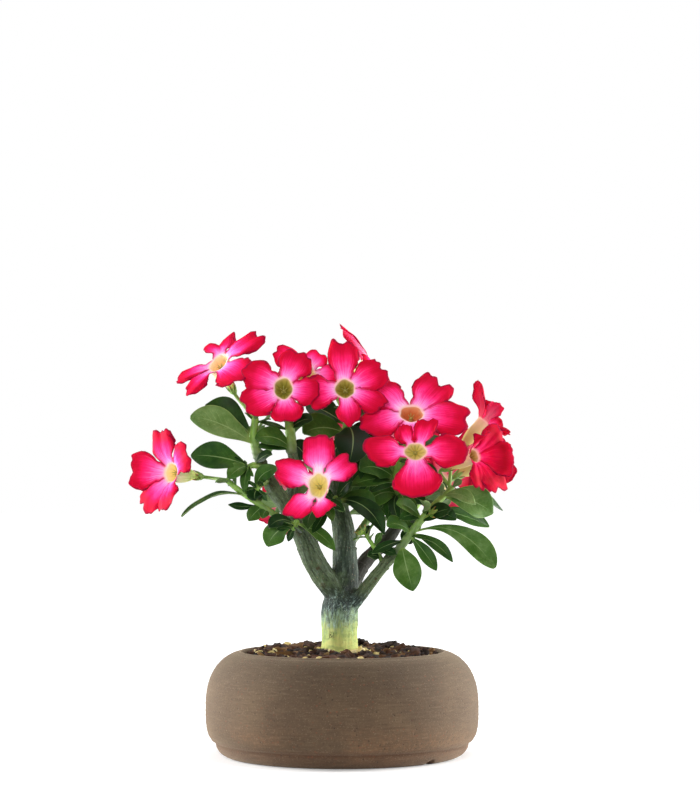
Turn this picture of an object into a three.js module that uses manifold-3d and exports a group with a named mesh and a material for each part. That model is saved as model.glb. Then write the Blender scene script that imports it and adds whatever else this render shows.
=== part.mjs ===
// A desert rose (adenium) in flower, in a low round bowl of unglazed clay.
// Millimetres, +Z up. The origin is the middle of the pot's flat underside and -Y is the front.
import * as THREE from 'three';
import { mergeVertices } from 'three/addons/utils/BufferGeometryUtils.js';
import Module from 'manifold-3d';

const wasm = await Module();
wasm.setup();

// Pot: outer form
const POT_SEGMENTS = 32;
const POT_RADIUS = 102;
const POT_WIDEST_HEIGHT = 38;
const BASE_RADIUS = 82.6;
const FOOT_RADIUS = 95;
const FOOT_HEIGHT = 11.2;
const GROOVE_HEIGHT = 12;
const GROOVE_RADIUS = 94.6;
const BELLY_FOOT_RADIUS = 92;
const BELLY_FOOT_DEPTH = 27;
const SHOULDER_RADIUS = 70;
const SHOULDER_RISE = 40;
const LIP_RADIUS = 5;
const LIP_CENTRE_RADIUS = 75;
const LIP_CENTRE_HEIGHT = 72.5;

const SHOULDER_POWER = 2.2;
const BELLY_FOOT_POWER = 3;
const BELLY_LEVELS = [13, 20, POT_WIDEST_HEIGHT, 52, 62, 70, 76.2];
const LIP_TURNS = [60, 100, 140, 180];
const FOOT_TURNS = [0, 36, 90];

// Pot: inside, drain grooves and drain holes
const FLOOR_THICKNESS = 10;
const FLOOR_RADIUS = 76;
const INNER_RADIUS = 94;
const MOUTH_RADIUS = 70;
const CAVITY_POWER = 2;
const GROOVE_WIDTH = 9;
const GROOVE_DEPTH = 2.4;
const GROOVE_START = 50;
const DRAIN_HOLE_RADIUS = 2.7;
const DRAIN_HOLE_PLACE = 56;
const DRAIN_ANGLES = [-45, 75, 195];

// Filling and mulch
const CLEARANCE = 0.3;
const SOIL_TOP = 68;
const CAVITY_LEVELS = [FLOOR_THICKNESS, 21, POT_WIDEST_HEIGHT, 54, SOIL_TOP];
const MULCH_SEGMENTS = 24;
const MULCH_RADIUS = 69.4;
const MULCH_RINGS = [MULCH_RADIUS, 54, 30, 0];
const MULCH_TOP = 71.5;
const MULCH_HEAP = 7;
const HEAP_START = -15;
const HEAP_END = 55;
const CHIP_COUNT = 26;
const CHIP_REACH = 60;
const CHIP_LENGTH = 9;
const CHIP_WIDTH = 6;
const CHIP_THICKNESS = 3.4;
const CHIP_LIFT = 1.1;

// Wood, stems and leaves
const TRUNK_SIDES = 13;
const LIMB_SIDES = 8;
const STEM_SIDES = 5;
const LEAF_THICKNESS = 1;
const LEAF_FOLD = 0.28;
const FOLDED_FROM = 13;
const PETIOLE_SHARE = 0.09;
const LEAF_ROWS = [0, 0.3, 0.58, 0.84, 1];
const GOLDEN_ANGLE = 137.5;
const SPIRAL_SPREAD = 0.86;
const SPIRAL_CLIMB = 0.45;
const SPIRAL_ARCH = 0.16;
const SPIRAL_WIDTH = 0.42;
const SPIRAL_SHORTENING = 0.25;
const BUD_SIDES = 6;

// Blooms: the rings are radius and height from the mouth, outside the tube and inside the throat
const PETAL_THICKNESS = 0.8;
const PETAL_WIDTH = 23;
const PETAL_RUFFLE = 1.5;
const PETAL_ROWS = [0.42, 0.78, 1];
const TUBE_LENGTH = 27;
const MOUTH_OF_BLOOM = 7.2;
const TUBE_RINGS = [[2.2, -TUBE_LENGTH], [2.8, -22], [6, -14], [MOUTH_OF_BLOOM, -0.3]];
const THROAT_RINGS = [[1.7, -16], [3.9, -13], [MOUTH_OF_BLOOM - 1.1, 0.3]];
const ANTHER_TIP = -5;
const STALK_RADIUS = 1.35;
const STALK_BOW = -10;
const CALYX_RADIUS = 3;
const CALYX_DEPTH = 2;
const CALYX_NECK = -5;

const clay = new THREE.MeshStandardMaterial({ color: '#6f5f50', roughness: 0.88, metalness: 0 });
const soil = new THREE.MeshStandardMaterial({ color: '#2e1f17', roughness: 1, metalness: 0 });
const mulch = new THREE.MeshStandardMaterial({ color: '#5a3420', roughness: 0.95, metalness: 0 });
const bark = new THREE.MeshStandardMaterial({ color: '#6d7f5c', roughness: 0.72, metalness: 0 });
const leafGreen = new THREE.MeshStandardMaterial({ color: '#2f5429', roughness: 0.45, metalness: 0 });
const petalRed = new THREE.MeshStandardMaterial({ color: '#e0214f', roughness: 0.6, metalness: 0 });

// Woody limbs, one grown body: each row is x, y, z and the radius there.
const LIMBS = {
  trunk: [[-2, 0, 40, 13.6], [-2, 0, 74, 13.9], [-2, 0, 91, 13.5], [-2, 0, 106, 14.2], [-1, 0, 118, 9]],
  left: [
    [-3, 0, 106, 9.5], [-11, -4, 124, 9.6], [-22, -8, 146, 9], [-31, -12, 168, 7.6],
    [-41, -12, 185, 6.6], [-51, -8, 198, 5.9], [-59, -4, 213, 4.8], [-63, -2, 226, 4.2],
  ],
  middle: [
    [0, 2, 106, 11], [2, 3, 126, 10], [2, 4, 146, 9.4], [1, 6, 167, 8.4],
    [-3, 10, 186, 7], [-5, 16, 204, 6], [-1, 20, 223, 5], [3, 20, 236, 4.4],
  ],
  rightRear: [
    [2, 6, 111, 8], [9, 16, 130, 6.4], [19, 28, 145, 5.6],
    [33, 36, 158, 5.2], [43, 38, 173, 4.6], [47, 34, 186, 4.3],
  ],
  right: [[2, -4, 106, 7.5], [12, -6, 116, 5.4], [25, -10, 132, 4.9], [40, -14, 151, 4.5]],
  riser: [[-38, -11, 180, 4.6], [-38, 0, 194, 4.6], [-36, 2, 214, 4.3], [-38, 0, 230, 4]],
  rear: [[1, 8, 110, 8], [2, 28, 132, 6.6], [1, 46, 151, 5.6], [-4, 58, 172, 5], [-8, 62, 190, 4.5]],
};

// Leafy shoots. stem rows are x, y, z and the radius. A leaf row is: place along the stem (0 to 1),
// tip x, y, z, sideways and upward bend, width, and its face's lean from upwards (0) to the front (90).
// A spiral gives leaves at the golden angle instead: count, first place, last place, first angle, length.
// A bud row is: place along the stem, tip x, y, z and radius.
const SHOOTS = {
  upper_left: {
    stem: [[-63, -2, 222, 3.4], [-66, -4, 237, 3], [-70, -6, 250, 2.4]],
    leaves: [
      [0.4, -112, -22, 255, 0, 17, 23, 65],
      [0.45, -104, 14, 263, 0, 10, 20, 50],
      [0.3, -72, 38, 244, 0, 12, 21, -35],
      [0.6, -38, 26, 262, 0, 8, 18, -20],
    ],
  },
  centre_left: {
    stem: [[-38, 0, 226, 3.2], [-39, 0, 241, 2.8], [-40, -2, 249, 2.4]],
    leaves: [
      [0.28, -64, -12, 237, 1, 10, 16, 60],
      [0.55, -66, -6, 249, 0, 3, 9, 40],
      [0.3, -60, 8, 222, 0, 6, 12, 30],
      [0.3, -30, 38, 246, 0, 12, 20, -30],
    ],
  },
  centre_top: {
    stem: [[3, 20, 232, 3.4], [3, 16, 244, 3], [4, 11, 254, 2.4]],
    leaves: [
      [0.32, -29, 2, 240, -2, 9, 23, 75],
      [0.6, -28, 24, 263, 0, 4, 20, 50],
      [0.6, 10, -20, 219, 5, 11, 24, 80],
      [0.35, 27, 0, 233, 0, 8, 22, 75],
      [0.35, 7, -8, 201, 6, 4, 20, 80],
      [0.7, 30, 30, 254, 0, 6, 20, 20],
      [0.5, -2, 58, 256, 0, 12, 21, -30],
    ],
  },
  upper_right: {
    stem: [[47, 34, 183, 3.4], [47, 18, 203, 3], [45, -4, 224, 2.6]],
    leaves: [
      [0.55, 13, -10, 213, -1, 10, 20, 70],
      [0.25, 16, 0, 185, 0, 12, 19, 65],
      [0.35, 49, -6, 169, 4, 7, 17, 85],
      [0.2, 28, 4, 172, -10, 9, 10, 60],
      [0.4, 72, 6, 209, 0, 8, 18, 50],
      [0.7, 78, 20, 236, 0, 8, 20, 30],
      [0.8, 22, 20, 238, 0, 6, 18, 30],
      [0.6, 52, 56, 234, 0, 8, 21, -35],
    ],
  },
  right_low: {
    stem: [
      [38, -13, 148, 3.4], [49, -18, 163, 3.2], [59, -20, 176, 3.2],
      [70, -18, 188, 2.8], [82, -12, 199, 2.3],
    ],
    leaves: [
      [0.85, 113, -6, 180, 0, 8, 24, 75],
      [0.8, 97, -28, 199, 0, 8, 16, 50],
      [0.94, 121, 10, 186, 0, 12, 12, 40],
      [0.65, 111, 6, 170, 0, 4, 14, 60],
      [0.64, 111, -22, 140, 28, 15, 20, 70],
      [0.45, 81, -36, 145, 2, 4, 17, 70],
      [0.14, 52, -36, 124, -2, 4, 21, 85],
      [0.27, 70, -20, 138, 0, 3, 11, 70],
      [0.2, 22, -28, 151, 0, 3, 8, 50],
      [0.6, 78, 30, 186, 0, 10, 20, -20],
      [0.3, 33, -44, 172, 0, 6, 14, 65],
      [0.5, 40, -40, 188, 0, 5, 12, 60],
      [0.42, 46, -44, 157, 0, 3, 12, 70],
    ],
    buds: [[0.5, 70, -31, 183, 1.6]],
  },
  left_long: {
    stem: [
      [-38, -11, 173, 2.8], [-51, -18, 180, 2.6], [-64, -20, 189, 2.4],
      [-76, -18, 197, 2.2], [-86, -14, 205, 2],
    ],
    leaves: [
      [0.62, -119, -26, 178, 1, 16, 14, 8],
      [0.75, -84, -26, 188, 0, 2, 7, 40],
      [0.5, -69, -26, 176, 0, 2, 9, 80],
      [0.38, -59, -26, 174, 0, 2, 8, 80],
      [0.45, -66, 14, 192, 0, 8, 18, -20],
    ],
  },
  left_spur: {
    stem: [[-59, -4, 214, 2.6], [-66, -12, 216, 2.3], [-71, -16, 214, 2]],
    leaves: [
      [0.95, -111, -24, 226, 0, 10, 24, 65],
      [0.64, -72, -26, 196, -3, 7, 8, 60],
      [0.45, -52, -20, 224, 0, 4, 9, 60],
    ],
  },
  inner_left_spur: {
    stem: [[-54, -8, 204, 2.4], [-60, -16, 202, 2.1], [-63, -22, 198, 1.8]],
    leaves: [[0.95, -49, -32, 216, -8, 6, 12, 75]],
  },
  fork_spur: {
    stem: [[-34, -12, 174, 2.4], [-34, -24, 173, 2.1], [-36, -28, 169, 1.8]],
    leaves: [
      [0.68, -53, -34, 171, -1, 10, 13, 35],
      [0.95, -44, -26, 156, -7, 3, 12, 80],
    ],
  },
  front: {
    stem: [[-5, 5, 186, 2.8], [-12, -12, 188, 2.4], [-16, -28, 196, 2]],
    leaves: [
      [0.57, -25, -36, 169, -8, 3, 10, 60],
      [0.4, -21, -20, 154, 7, -2, 14, 80],
      [0.54, -7, -30, 177, 0, 3, 8, 60],
    ],
  },
  front_right: {
    stem: [[1, 8, 181, 2.6], [-3, -8, 187, 2.2], [-5, -18, 192, 1.8]],
    leaves: [
      [0.8, 31, -36, 165, 6, 15, 19, 60],
      [0.82, 7, -24, 204, 0, 4, 12, 60],
      [0.6, 24, -20, 186, 0, 8, 17, 60],
    ],
  },
  star_twig: {
    stem: [[32, -9, 141, 2], [25, -14, 153, 1.7], [18, -18, 164, 1.5]],
    leaves: [[0.5, 40, -28, 150, 0, 2, 7, 60]],
    buds: [[0.95, 14, -20, 168, 1.6]],
  },
  left_back: {
    stem: [[-41, -9, 184, 2.8], [-42, 0, 184, 2.4], [-42, 8, 186, 2.2]],
    spiral: [3, 0.65, 0.95, 40, 38],
  },
  middle_back: {
    stem: [[1, 10, 168, 3], [2, 24, 182, 2.6], [4, 34, 200, 2.2]],
    spiral: [5, 0.35, 0.98, 20, 42],
  },
  rear_top: {
    stem: [[-8, 62, 187, 3.3], [-9, 66, 200, 2.8], [-8, 67, 212, 2.4]],
    spiral: [6, 0.3, 0.88, 280, 42],
  },
  rear_right: {
    stem: [[3, 47, 152, 3.3], [18, 59, 172, 2.8], [31, 63, 195, 2.5], [38, 63, 214, 2.3]],
    spiral: [6, 0.35, 0.9, 20, 42],
  },
  right_back: {
    stem: [[43, 39, 172, 2.9], [56, 46, 184, 2.5], [61, 48, 192, 2.2]],
    spiral: [4, 0.4, 0.9, 165, 42],
  },
};

// Blooms: the shoot and place that the stalk grows from, the mouth's middle, the way it faces, and five
// petals, each an angle round the mouth, a reach from its middle, a forward lean and, on some, a width.
const EVEN_PETALS = [[90, 31, 8], [162, 30, 4], [234, 31, 10], [306, 30, 2], [18, 31, 6]];
const BLOOMS = {
  far_left_top: {
    shoot: 'upper_left', from: 1, mouth: [-92, -14, 293], facing: [-0.35, -0.62, 0.7],
    petals: [[113, 33, 12], [45, 37, 8], [-34, 29, 0], [-107, 33, 0], [-158, 32, 6]],
  },
  left_top: {
    shoot: 'centre_left', from: 1, mouth: [-43, -40, 272], facing: [0, -0.97, 0.22],
    petals: [[73, 31, 6], [152, 31, 4], [-150, 33, 4], [-83, 27, 8], [-10, 26, 8]],
  },
  left_top_back: {
    shoot: 'centre_left', from: 0.95, mouth: [-35, 24, 287], facing: [0, 0.85, 0.45],
    petals: [[35, 30, 5], [160, 31, 5], [218, 30, 8], [270, 30, 2], [-32, 30, 6]],
  },
  centre_top: {
    shoot: 'centre_top', from: 1, mouth: [2, -38, 275], facing: [-0.05, -0.97, 0.2],
    petals: [[93, 35, 6], [24, 31, 6], [-36, 29, 4], [-86, 27, 4], [-168, 28, 8]],
  },
  centre_top_back: {
    shoot: 'centre_top', from: 0.95, mouth: [18, 20, 294], facing: [0.8, 0.15, 0.57],
    petals: [[90, 35, 4], [18, 31, 5], [-54, 30, 6], [-126, 30, 4], [162, 30, 8]],
  },
  right_top: {
    shoot: 'upper_right', from: 1, mouth: [50, -35, 258], facing: [0.05, -0.85, 0.52],
    petals: [[132, 41, 6, 25], [60, 40, 6, 26], [-5, 41, 4, 26], [-122, 27, -8], [-177, 36, 2, 26]],
  },
  right_front: {
    shoot: 'upper_right', from: 0.97, mouth: [51, -66, 232], facing: [0, -0.95, 0.12],
    petals: [[-90, 38, 6, 32], [179, 35, 4, 27], [-2, 35, 4, 27], [118, 24, 40, 18], [58, 27, 30, 20]],
  },
  far_right: {
    shoot: 'right_low', from: 1, mouth: [93, -30, 229], facing: [0.65, -0.55, 0.3],
    petals: [[45, 33, 25, 26], [-12, 33, 35, 27], [-68, 33, 15], [-112, 30, 10], [118, 30, 50]],
  },
  far_right_back: {
    shoot: 'right_low', from: 0.97, mouth: [106, 22, 211], facing: [0.6, 0.6, 0.4],
    petals: [[80, 28, 10], [152, 28, 4], [224, 28, 10], [296, 28, 2], [8, 28, 6]],
  },
  far_right_top: {
    shoot: 'right_low', from: 0.95, mouth: [106, 2, 246], facing: [0.66, 0.15, 0.72],
    petals: [[100, 30, 30], [28, 29, 25], [-44, 28, 28], [-116, 29, 24], [172, 29, 30]],
  },
  far_left: {
    shoot: 'left_long', from: 1, mouth: [-127, -14, 211], facing: [-0.7, -0.7, 0.1],
    petals: [[102, 35, 10], [175, 33, 35], [-118, 34, 22], [-55, 33, 30], [45, 31, 12]],
  },
  front: {
    shoot: 'front', from: 1, mouth: [-17, -62, 204], facing: [0, -0.97, 0.15],
    petals: [[88, 36, 5], [160, 34, 5], [-120, 31, 5], [-68, 26, 10], [31, 31, 5]],
  },
  left_back: {
    shoot: 'left_back', from: 1, mouth: [-42, 50, 196], facing: [-0.1, 0.9, 0.1],
    petals: EVEN_PETALS,
  },
  rear_right: {
    shoot: 'rear_right', from: 1, mouth: [50, 92, 240], facing: [0.25, 0.85, 0.3],
    petals: EVEN_PETALS,
  },
  rear_left: {
    shoot: 'rear_top', from: 1, mouth: [-6, 101, 227], facing: [-0.05, 0.95, 0.1],
    petals: EVEN_PETALS,
  },
  right_back: {
    shoot: 'right_back', from: 1, mouth: [78, 70, 203], facing: [0.5, 0.75, 0.1],
    petals: EVEN_PETALS,
  },
};

const radians = THREE.MathUtils.degToRad;
const vector = ([x, y, z]) => new THREE.Vector3(x, y, z);

// A closed solid from a geometry: one set of shared corners, and no faces that have shrunk to a line.
function toSolid(geometry) {
  const bare = geometry.index ? geometry.clone() : geometry;
  bare.deleteAttribute('normal');
  bare.deleteAttribute('uv');
  const merged = mergeVertices(bare, 1e-4);
  const corners = [];
  for (let i = 0; i < merged.index.count; i += 3) {
    const [a, b, c] = [0, 1, 2].map((k) => merged.index.getX(i + k));
    if (a !== b && b !== c && c !== a) corners.push(a, b, c);
  }
  const vertProperties = new Float32Array(merged.attributes.position.array);
  const mesh = new wasm.Mesh({ numProp: 3, vertProperties, triVerts: new Uint32Array(corners) });
  return new wasm.Manifold(mesh);
}

function toGeometry(solid) {
  const { vertProperties, triVerts } = solid.getMesh();
  const geometry = new THREE.BufferGeometry();
  geometry.setAttribute('position', new THREE.BufferAttribute(vertProperties, 3));
  geometry.setIndex(new THREE.BufferAttribute(triVerts, 1));
  geometry.computeVertexNormals();
  return geometry;
}

const join = (solids) => solids.reduce((whole, piece) => whole.add(piece));

// The largest piece of a solid, without the scraps that a cut leaves
const mainPiece = (solid) => solid.decompose().reduce((a, b) => (b.volume() > a.volume() ? b : a));

// Rings with the same number of points, skinned and capped. From fold onwards each ring turns back along
// the underside of a blade, where the squares are split the same way as on its upper face.
function loft(rings, fold = Infinity) {
  const count = rings[0].length;
  const positions = rings.flat().flatMap((p) => [p.x, p.y, p.z]);
  const index = [];
  for (let r = 0; r + 1 < rings.length; r += 1) {
    for (let i = 0; i < count; i += 1) {
      const a = r * count + i;
      const b = r * count + (i + 1) % count;
      const c = a + count;
      const d = b + count;
      if (i < fold) index.push(a, b, d, a, d, c);
      else index.push(a, b, c, b, d, c);
    }
  }
  const last = (rings.length - 1) * count;
  for (let i = 1; i + 1 < count; i += 1) {
    index.push(0, i + 1, i);
    index.push(last, last + i, last + i + 1);
  }
  const geometry = new THREE.BufferGeometry();
  geometry.setAttribute('position', new THREE.Float32BufferAttribute(positions, 3));
  geometry.setIndex(index);
  return geometry;
}

// A tapered stem through rows of x, y, z and radius, widened and lengthened by extra.
function stemTube(rows, sides, steps, extra = 0) {
  const curve = new THREE.CatmullRomCurve3(rows.map(vector));
  const across = new THREE.Vector3(0.31, 0.95, 0.05);
  const rings = [];
  for (let s = 0; s <= steps; s += 1) {
    const t = s / steps;
    const tangent = curve.getTangent(t);
    across.addScaledVector(tangent, -across.dot(tangent)).normalize();
    const other = tangent.clone().cross(across);
    const centre = curve.getPoint(t);
    if (s === 0) centre.addScaledVector(tangent, -extra);
    if (s === steps) centre.addScaledVector(tangent, extra);
    const place = t * (rows.length - 1);
    const before = Math.min(Math.floor(place), rows.length - 2);
    const radius = THREE.MathUtils.lerp(rows[before][3], rows[before + 1][3], place - before) + extra;
    const ring = [];
    for (let i = 0; i < sides; i += 1) {
      const angle = (i / sides) * 2 * Math.PI;
      ring.push(centre.clone().addScaledVector(across, radius * Math.cos(angle))
        .addScaledVector(other, radius * Math.sin(angle)));
    }
    rings.push(ring);
  }
  return loft(rings);
}

// A thin blade: surface(u, v) gives a place and the way its face looks there.
function blade(surface, lengthwise, crosswise, thickness) {
  const rings = lengthwise.map((u) => {
    const upper = [];
    const lower = [];
    for (const v of crosswise) {
      const { place, face } = surface(u, v);
      upper.push(place.clone().addScaledVector(face, thickness / 2));
      lower.unshift(place.clone().addScaledVector(face, -thickness / 2));
    }
    return [...upper, ...lower];
  });
  return loft(rings, crosswise.length);
}

// Leaf: spoon-shaped, widest past the middle, arched along its length and folded a little at the midrib
const leafOutline = (u) => Math.max(PETIOLE_SHARE, Math.sin(Math.PI * u ** 1.6) ** 0.75);

function leafSurface({ base, tip, bend, width, face }) {
  const middle = base.clone().add(tip).multiplyScalar(0.5).add(bend);
  const spine = new THREE.QuadraticBezierCurve3(base, middle, tip);
  return (u, v) => {
    const tangent = spine.getTangent(u);
    const normal = face.clone().addScaledVector(tangent, -face.dot(tangent)).normalize();
    const side = tangent.clone().cross(normal);
    const half = (width / 2) * leafOutline(u);
    const place = spine.getPoint(u).addScaledVector(side, half * v);
    place.addScaledVector(normal, LEAF_FOLD * half * Math.abs(v));
    return { place, face: normal };
  };
}

function placedLeaf(stem, [t, x, y, z, sideBend, rise, width, lean]) {
  const angle = radians(lean);
  return {
    base: stem.getPoint(t),
    tip: new THREE.Vector3(x, y, z),
    bend: new THREE.Vector3(sideBend, 0, rise),
    width,
    face: new THREE.Vector3(0, -Math.sin(angle), Math.cos(angle)),
  };
}

// Leaves that climb a stem at the golden angle and spread from it, faces turned to the stem's end
function spiralLeaves(stem, [count, first, last, start, length]) {
  const leaves = [];
  for (let i = 0; i < count; i += 1) {
    const t = THREE.MathUtils.lerp(first, last, i / (count - 1));
    const axis = stem.getTangent(t);
    const turn = radians(start + GOLDEN_ANGLE * i);
    const outward = new THREE.Vector3(1, 0, 0).addScaledVector(axis, -axis.x).normalize();
    outward.applyAxisAngle(axis, turn);
    const reach = length * (1 - SPIRAL_SHORTENING * t);
    const base = stem.getPoint(t);
    const tip = base.clone().addScaledVector(outward, reach * SPIRAL_SPREAD);
    tip.addScaledVector(axis, reach * SPIRAL_CLIMB);
    const bend = new THREE.Vector3(0, 0, reach * SPIRAL_ARCH);
    leaves.push({ base, tip, bend, width: reach * SPIRAL_WIDTH, face: axis });
  }
  return leaves;
}

// A small leaf is a flat strip across, and a larger one is folded at the midrib.
function leafSolid(leaf) {
  const crosswise = leaf.width < FOLDED_FROM ? [-1, 1] : [-1, 0, 1];
  return toSolid(blade(leafSurface(leaf), LEAF_ROWS, crosswise, LEAF_THICKNESS));
}

// Bloom frame: right, up and facing directions at the mouth
function bloomFrame({ mouth, facing }) {
  const out = vector(facing).normalize();
  const right = new THREE.Vector3(0, 0, 1).cross(out).normalize();
  const up = out.clone().cross(right);
  const middle = vector(mouth);
  return new THREE.Matrix4().makeBasis(right, up, out).setPosition(middle);
}

// Petal: narrow at the throat, broad and rounded beyond, arched back, with a waved edge
const petalOutline = (u) => Math.max(0.27 + 0.2 * u, Math.sin(Math.PI * u ** 1.5) ** 0.65);

function petalSurface([angle, reach, lean, width = PETAL_WIDTH], order) {
  const turn = radians(angle);
  const outward = new THREE.Vector3(Math.cos(turn), Math.sin(turn), 0);
  const side = new THREE.Vector3(-Math.sin(turn), Math.cos(turn), 0);
  const along = (r, h) => outward.clone().multiplyScalar(r).add(new THREE.Vector3(0, 0, h));
  const tilt = radians(lean);
  const root = along(MOUTH_OF_BLOOM, 0);
  const arch = along(MOUTH_OF_BLOOM + 2 + reach * 0.12, 4 + reach * 0.35 * Math.sin(tilt));
  const tip = along(reach * Math.cos(tilt), reach * Math.sin(tilt));
  const spine = new THREE.QuadraticBezierCurve3(root, arch, tip);
  return (u, v) => {
    const face = spine.getTangent(u).cross(side);
    const half = (width / 2) * petalOutline(u);
    const wave = PETAL_RUFFLE * u * v * v * Math.sin(5 * u + 2.4 * order + 1.2 * v);
    return { place: spine.getPoint(u).addScaledVector(side, half * v).addScaledVector(face, wave), face };
  };
}

// Corolla, one shell: a slim tube that opens into a wide throat with the cone of anthers in it, and five
// petals that spring from the rim. Each ring has a corner at every petal's middle and one at every cleft.
function corollaSolid({ petals: rows }) {
  const around = (angle) => ((angle % 360) + 360) % 360;
  const petals = [...rows].sort((a, b) => around(a[0]) - around(b[0]));
  const angles = petals.flatMap(([angle], i) => {
    const next = petals[(i + 1) % petals.length][0];
    return [angle, angle + around(next - angle) / 2];
  });
  const positions = [];
  const index = [];
  const corner = (p) => positions.push(p.x, p.y, p.z) / 3 - 1;
  const ring = ([radius, height]) => angles.map((angle) => {
    const turn = radians(angle);
    return corner(new THREE.Vector3(radius * Math.cos(turn), radius * Math.sin(turn), height));
  });
  const sheet = (lines, closed, inward) => {
    const last = lines[0].length - (closed ? 0 : 1);
    for (let r = 0; r + 1 < lines.length; r += 1) {
      for (let i = 0; i < last; i += 1) {
        const j = (i + 1) % lines[0].length;
        const [a, b, c, d] = [lines[r][i], lines[r][j], lines[r + 1][i], lines[r + 1][j]];
        if (inward) index.push(a, d, b, a, c, d);
        else index.push(a, b, d, a, d, c);
      }
    }
  };
  const edge = ([outA, inA], [outB, inB]) => index.push(outA, outB, inB, outA, inB, inA);

  const outer = TUBE_RINGS.map(ring);
  const inner = THROAT_RINGS.map(ring);
  sheet(outer, true, false);
  sheet(inner, true, true);
  for (let i = 1; i + 1 < angles.length; i += 1) index.push(outer[0][0], outer[0][i + 1], outer[0][i]);
  const tip = corner(new THREE.Vector3(0, 0, ANTHER_TIP));
  for (let i = 0; i < angles.length; i += 1) index.push(inner[0][i], inner[0][(i + 1) % angles.length], tip);

  petals.forEach((petal, order) => {
    const surface = petalSurface(petal, order);
    const cleft = (2 * order - 1 + angles.length) % angles.length;
    const rootPlaces = [cleft, 2 * order, 2 * order + 1];
    const lines = [rootPlaces.map((i) => [outer.at(-1)[i], inner.at(-1)[i]])];
    for (const u of PETAL_ROWS) {
      lines.push([-1, 0, 1].map((v) => {
        const { place, face } = surface(u, v);
        return [-0.5, 0.5].map((side) => corner(place.clone().addScaledVector(face, side * PETAL_THICKNESS)));
      }));
    }
    sheet(lines.map((line) => line.map(([out]) => out)), false, false);
    sheet(lines.map((line) => line.map(([, within]) => within)), false, true);
    for (let r = 0; r + 1 < lines.length; r += 1) {
      edge(lines[r][0], lines[r + 1][0]);
      edge(lines[r + 1][2], lines[r][2]);
    }
    edge(lines.at(-1)[0], lines.at(-1)[1]);
    edge(lines.at(-1)[1], lines.at(-1)[2]);
  });
  const geometry = new THREE.BufferGeometry();
  geometry.setAttribute('position', new THREE.Float32BufferAttribute(positions, 3));
  geometry.setIndex(index);
  return toSolid(geometry);
}

const bloomSolid = (bloom) => corollaSolid(bloom).transform(bloomFrame(bloom).elements);

// Stalk below a bloom, bowed onto the line of its tube and widened into the calyx that the tube stands on
function stalkSolid(bloom, stem) {
  const frame = bloomFrame(bloom);
  const onAxis = (h) => new THREE.Vector3(0, 0, h - TUBE_LENGTH - CLEARANCE).applyMatrix4(frame);
  const start = stem.getPoint(bloom.from);
  const neck = onAxis(CALYX_NECK);
  const bow = new THREE.QuadraticBezierCurve3(start, onAxis(STALK_BOW), neck);
  const rows = [start, bow.getPoint(0.5), neck].map((p) => [...p.toArray(), STALK_RADIUS]);
  rows.push([...onAxis(-CALYX_DEPTH).toArray(), CALYX_RADIUS], [...onAxis(0).toArray(), CALYX_RADIUS]);
  return toSolid(stemTube(rows, STEM_SIDES, 6));
}

function budSolid(stem, [t, x, y, z, radius]) {
  const start = stem.getPoint(t);
  const end = new THREE.Vector3(x, y, z);
  const at = (share, r) => [...start.clone().lerp(end, share).toArray(), r];
  return toSolid(stemTube([at(0, 1), at(0.4, 0.9), at(0.7, radius), at(1, 0.4)], BUD_SIDES, 5));
}

// The trunk and its limbs, widened by extra
function woodSolid(extra) {
  return join(Object.values(LIMBS).map((rows) => {
    const sides = rows === LIMBS.trunk ? TRUNK_SIDES : LIMB_SIDES;
    return toSolid(stemTube(rows, sides, rows.length + 1, extra));
  }));
}

function shootSolid(name, { stem: rows, leaves = [], spiral, buds = [] }, woodClearance) {
  const stem = new THREE.CatmullRomCurve3(rows.map(vector));
  const blades = leaves.map((row) => placedLeaf(stem, row));
  if (spiral) blades.push(...spiralLeaves(stem, spiral));
  const stalks = Object.values(BLOOMS).filter((bloom) => bloom.shoot === name);
  return join([
    mainPiece(toSolid(stemTube(rows, STEM_SIDES, rows.length + 1)).subtract(woodClearance)),
    ...blades.map(leafSolid),
    ...buds.map((bud) => budSolid(stem, bud)),
    ...stalks.map((bloom) => stalkSolid(bloom, stem)),
  ]);
}

// Pot outline, outside: rounded foot, a thin groove above it, a full belly and a rolled lip
const superEllipse = (x, power) => (1 - x ** power) ** (1 / power);

function bellyRadius(z) {
  const x = Math.abs(z - POT_WIDEST_HEIGHT);
  if (z > POT_WIDEST_HEIGHT) {
    const fullness = superEllipse(x / SHOULDER_RISE, SHOULDER_POWER);
    return THREE.MathUtils.lerp(SHOULDER_RADIUS, POT_RADIUS, fullness);
  }
  const fullness = superEllipse(x / BELLY_FOOT_DEPTH, BELLY_FOOT_POWER);
  return THREE.MathUtils.lerp(BELLY_FOOT_RADIUS, POT_RADIUS, fullness);
}

function cavityRadius(z) {
  if (z > POT_WIDEST_HEIGHT) {
    const x = (z - POT_WIDEST_HEIGHT) / (LIP_CENTRE_HEIGHT - POT_WIDEST_HEIGHT);
    return THREE.MathUtils.lerp(MOUTH_RADIUS, INNER_RADIUS, superEllipse(x, CAVITY_POWER));
  }
  const x = (POT_WIDEST_HEIGHT - z) / (POT_WIDEST_HEIGHT - FLOOR_THICKNESS);
  return THREE.MathUtils.lerp(FLOOR_RADIUS, INNER_RADIUS, superEllipse(x, CAVITY_POWER));
}

function lathe(outline, segments) {
  const points = outline.map(([r, z]) => new THREE.Vector2(r, z));
  return new THREE.LatheGeometry(points, segments).rotateX(Math.PI / 2);
}

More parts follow.
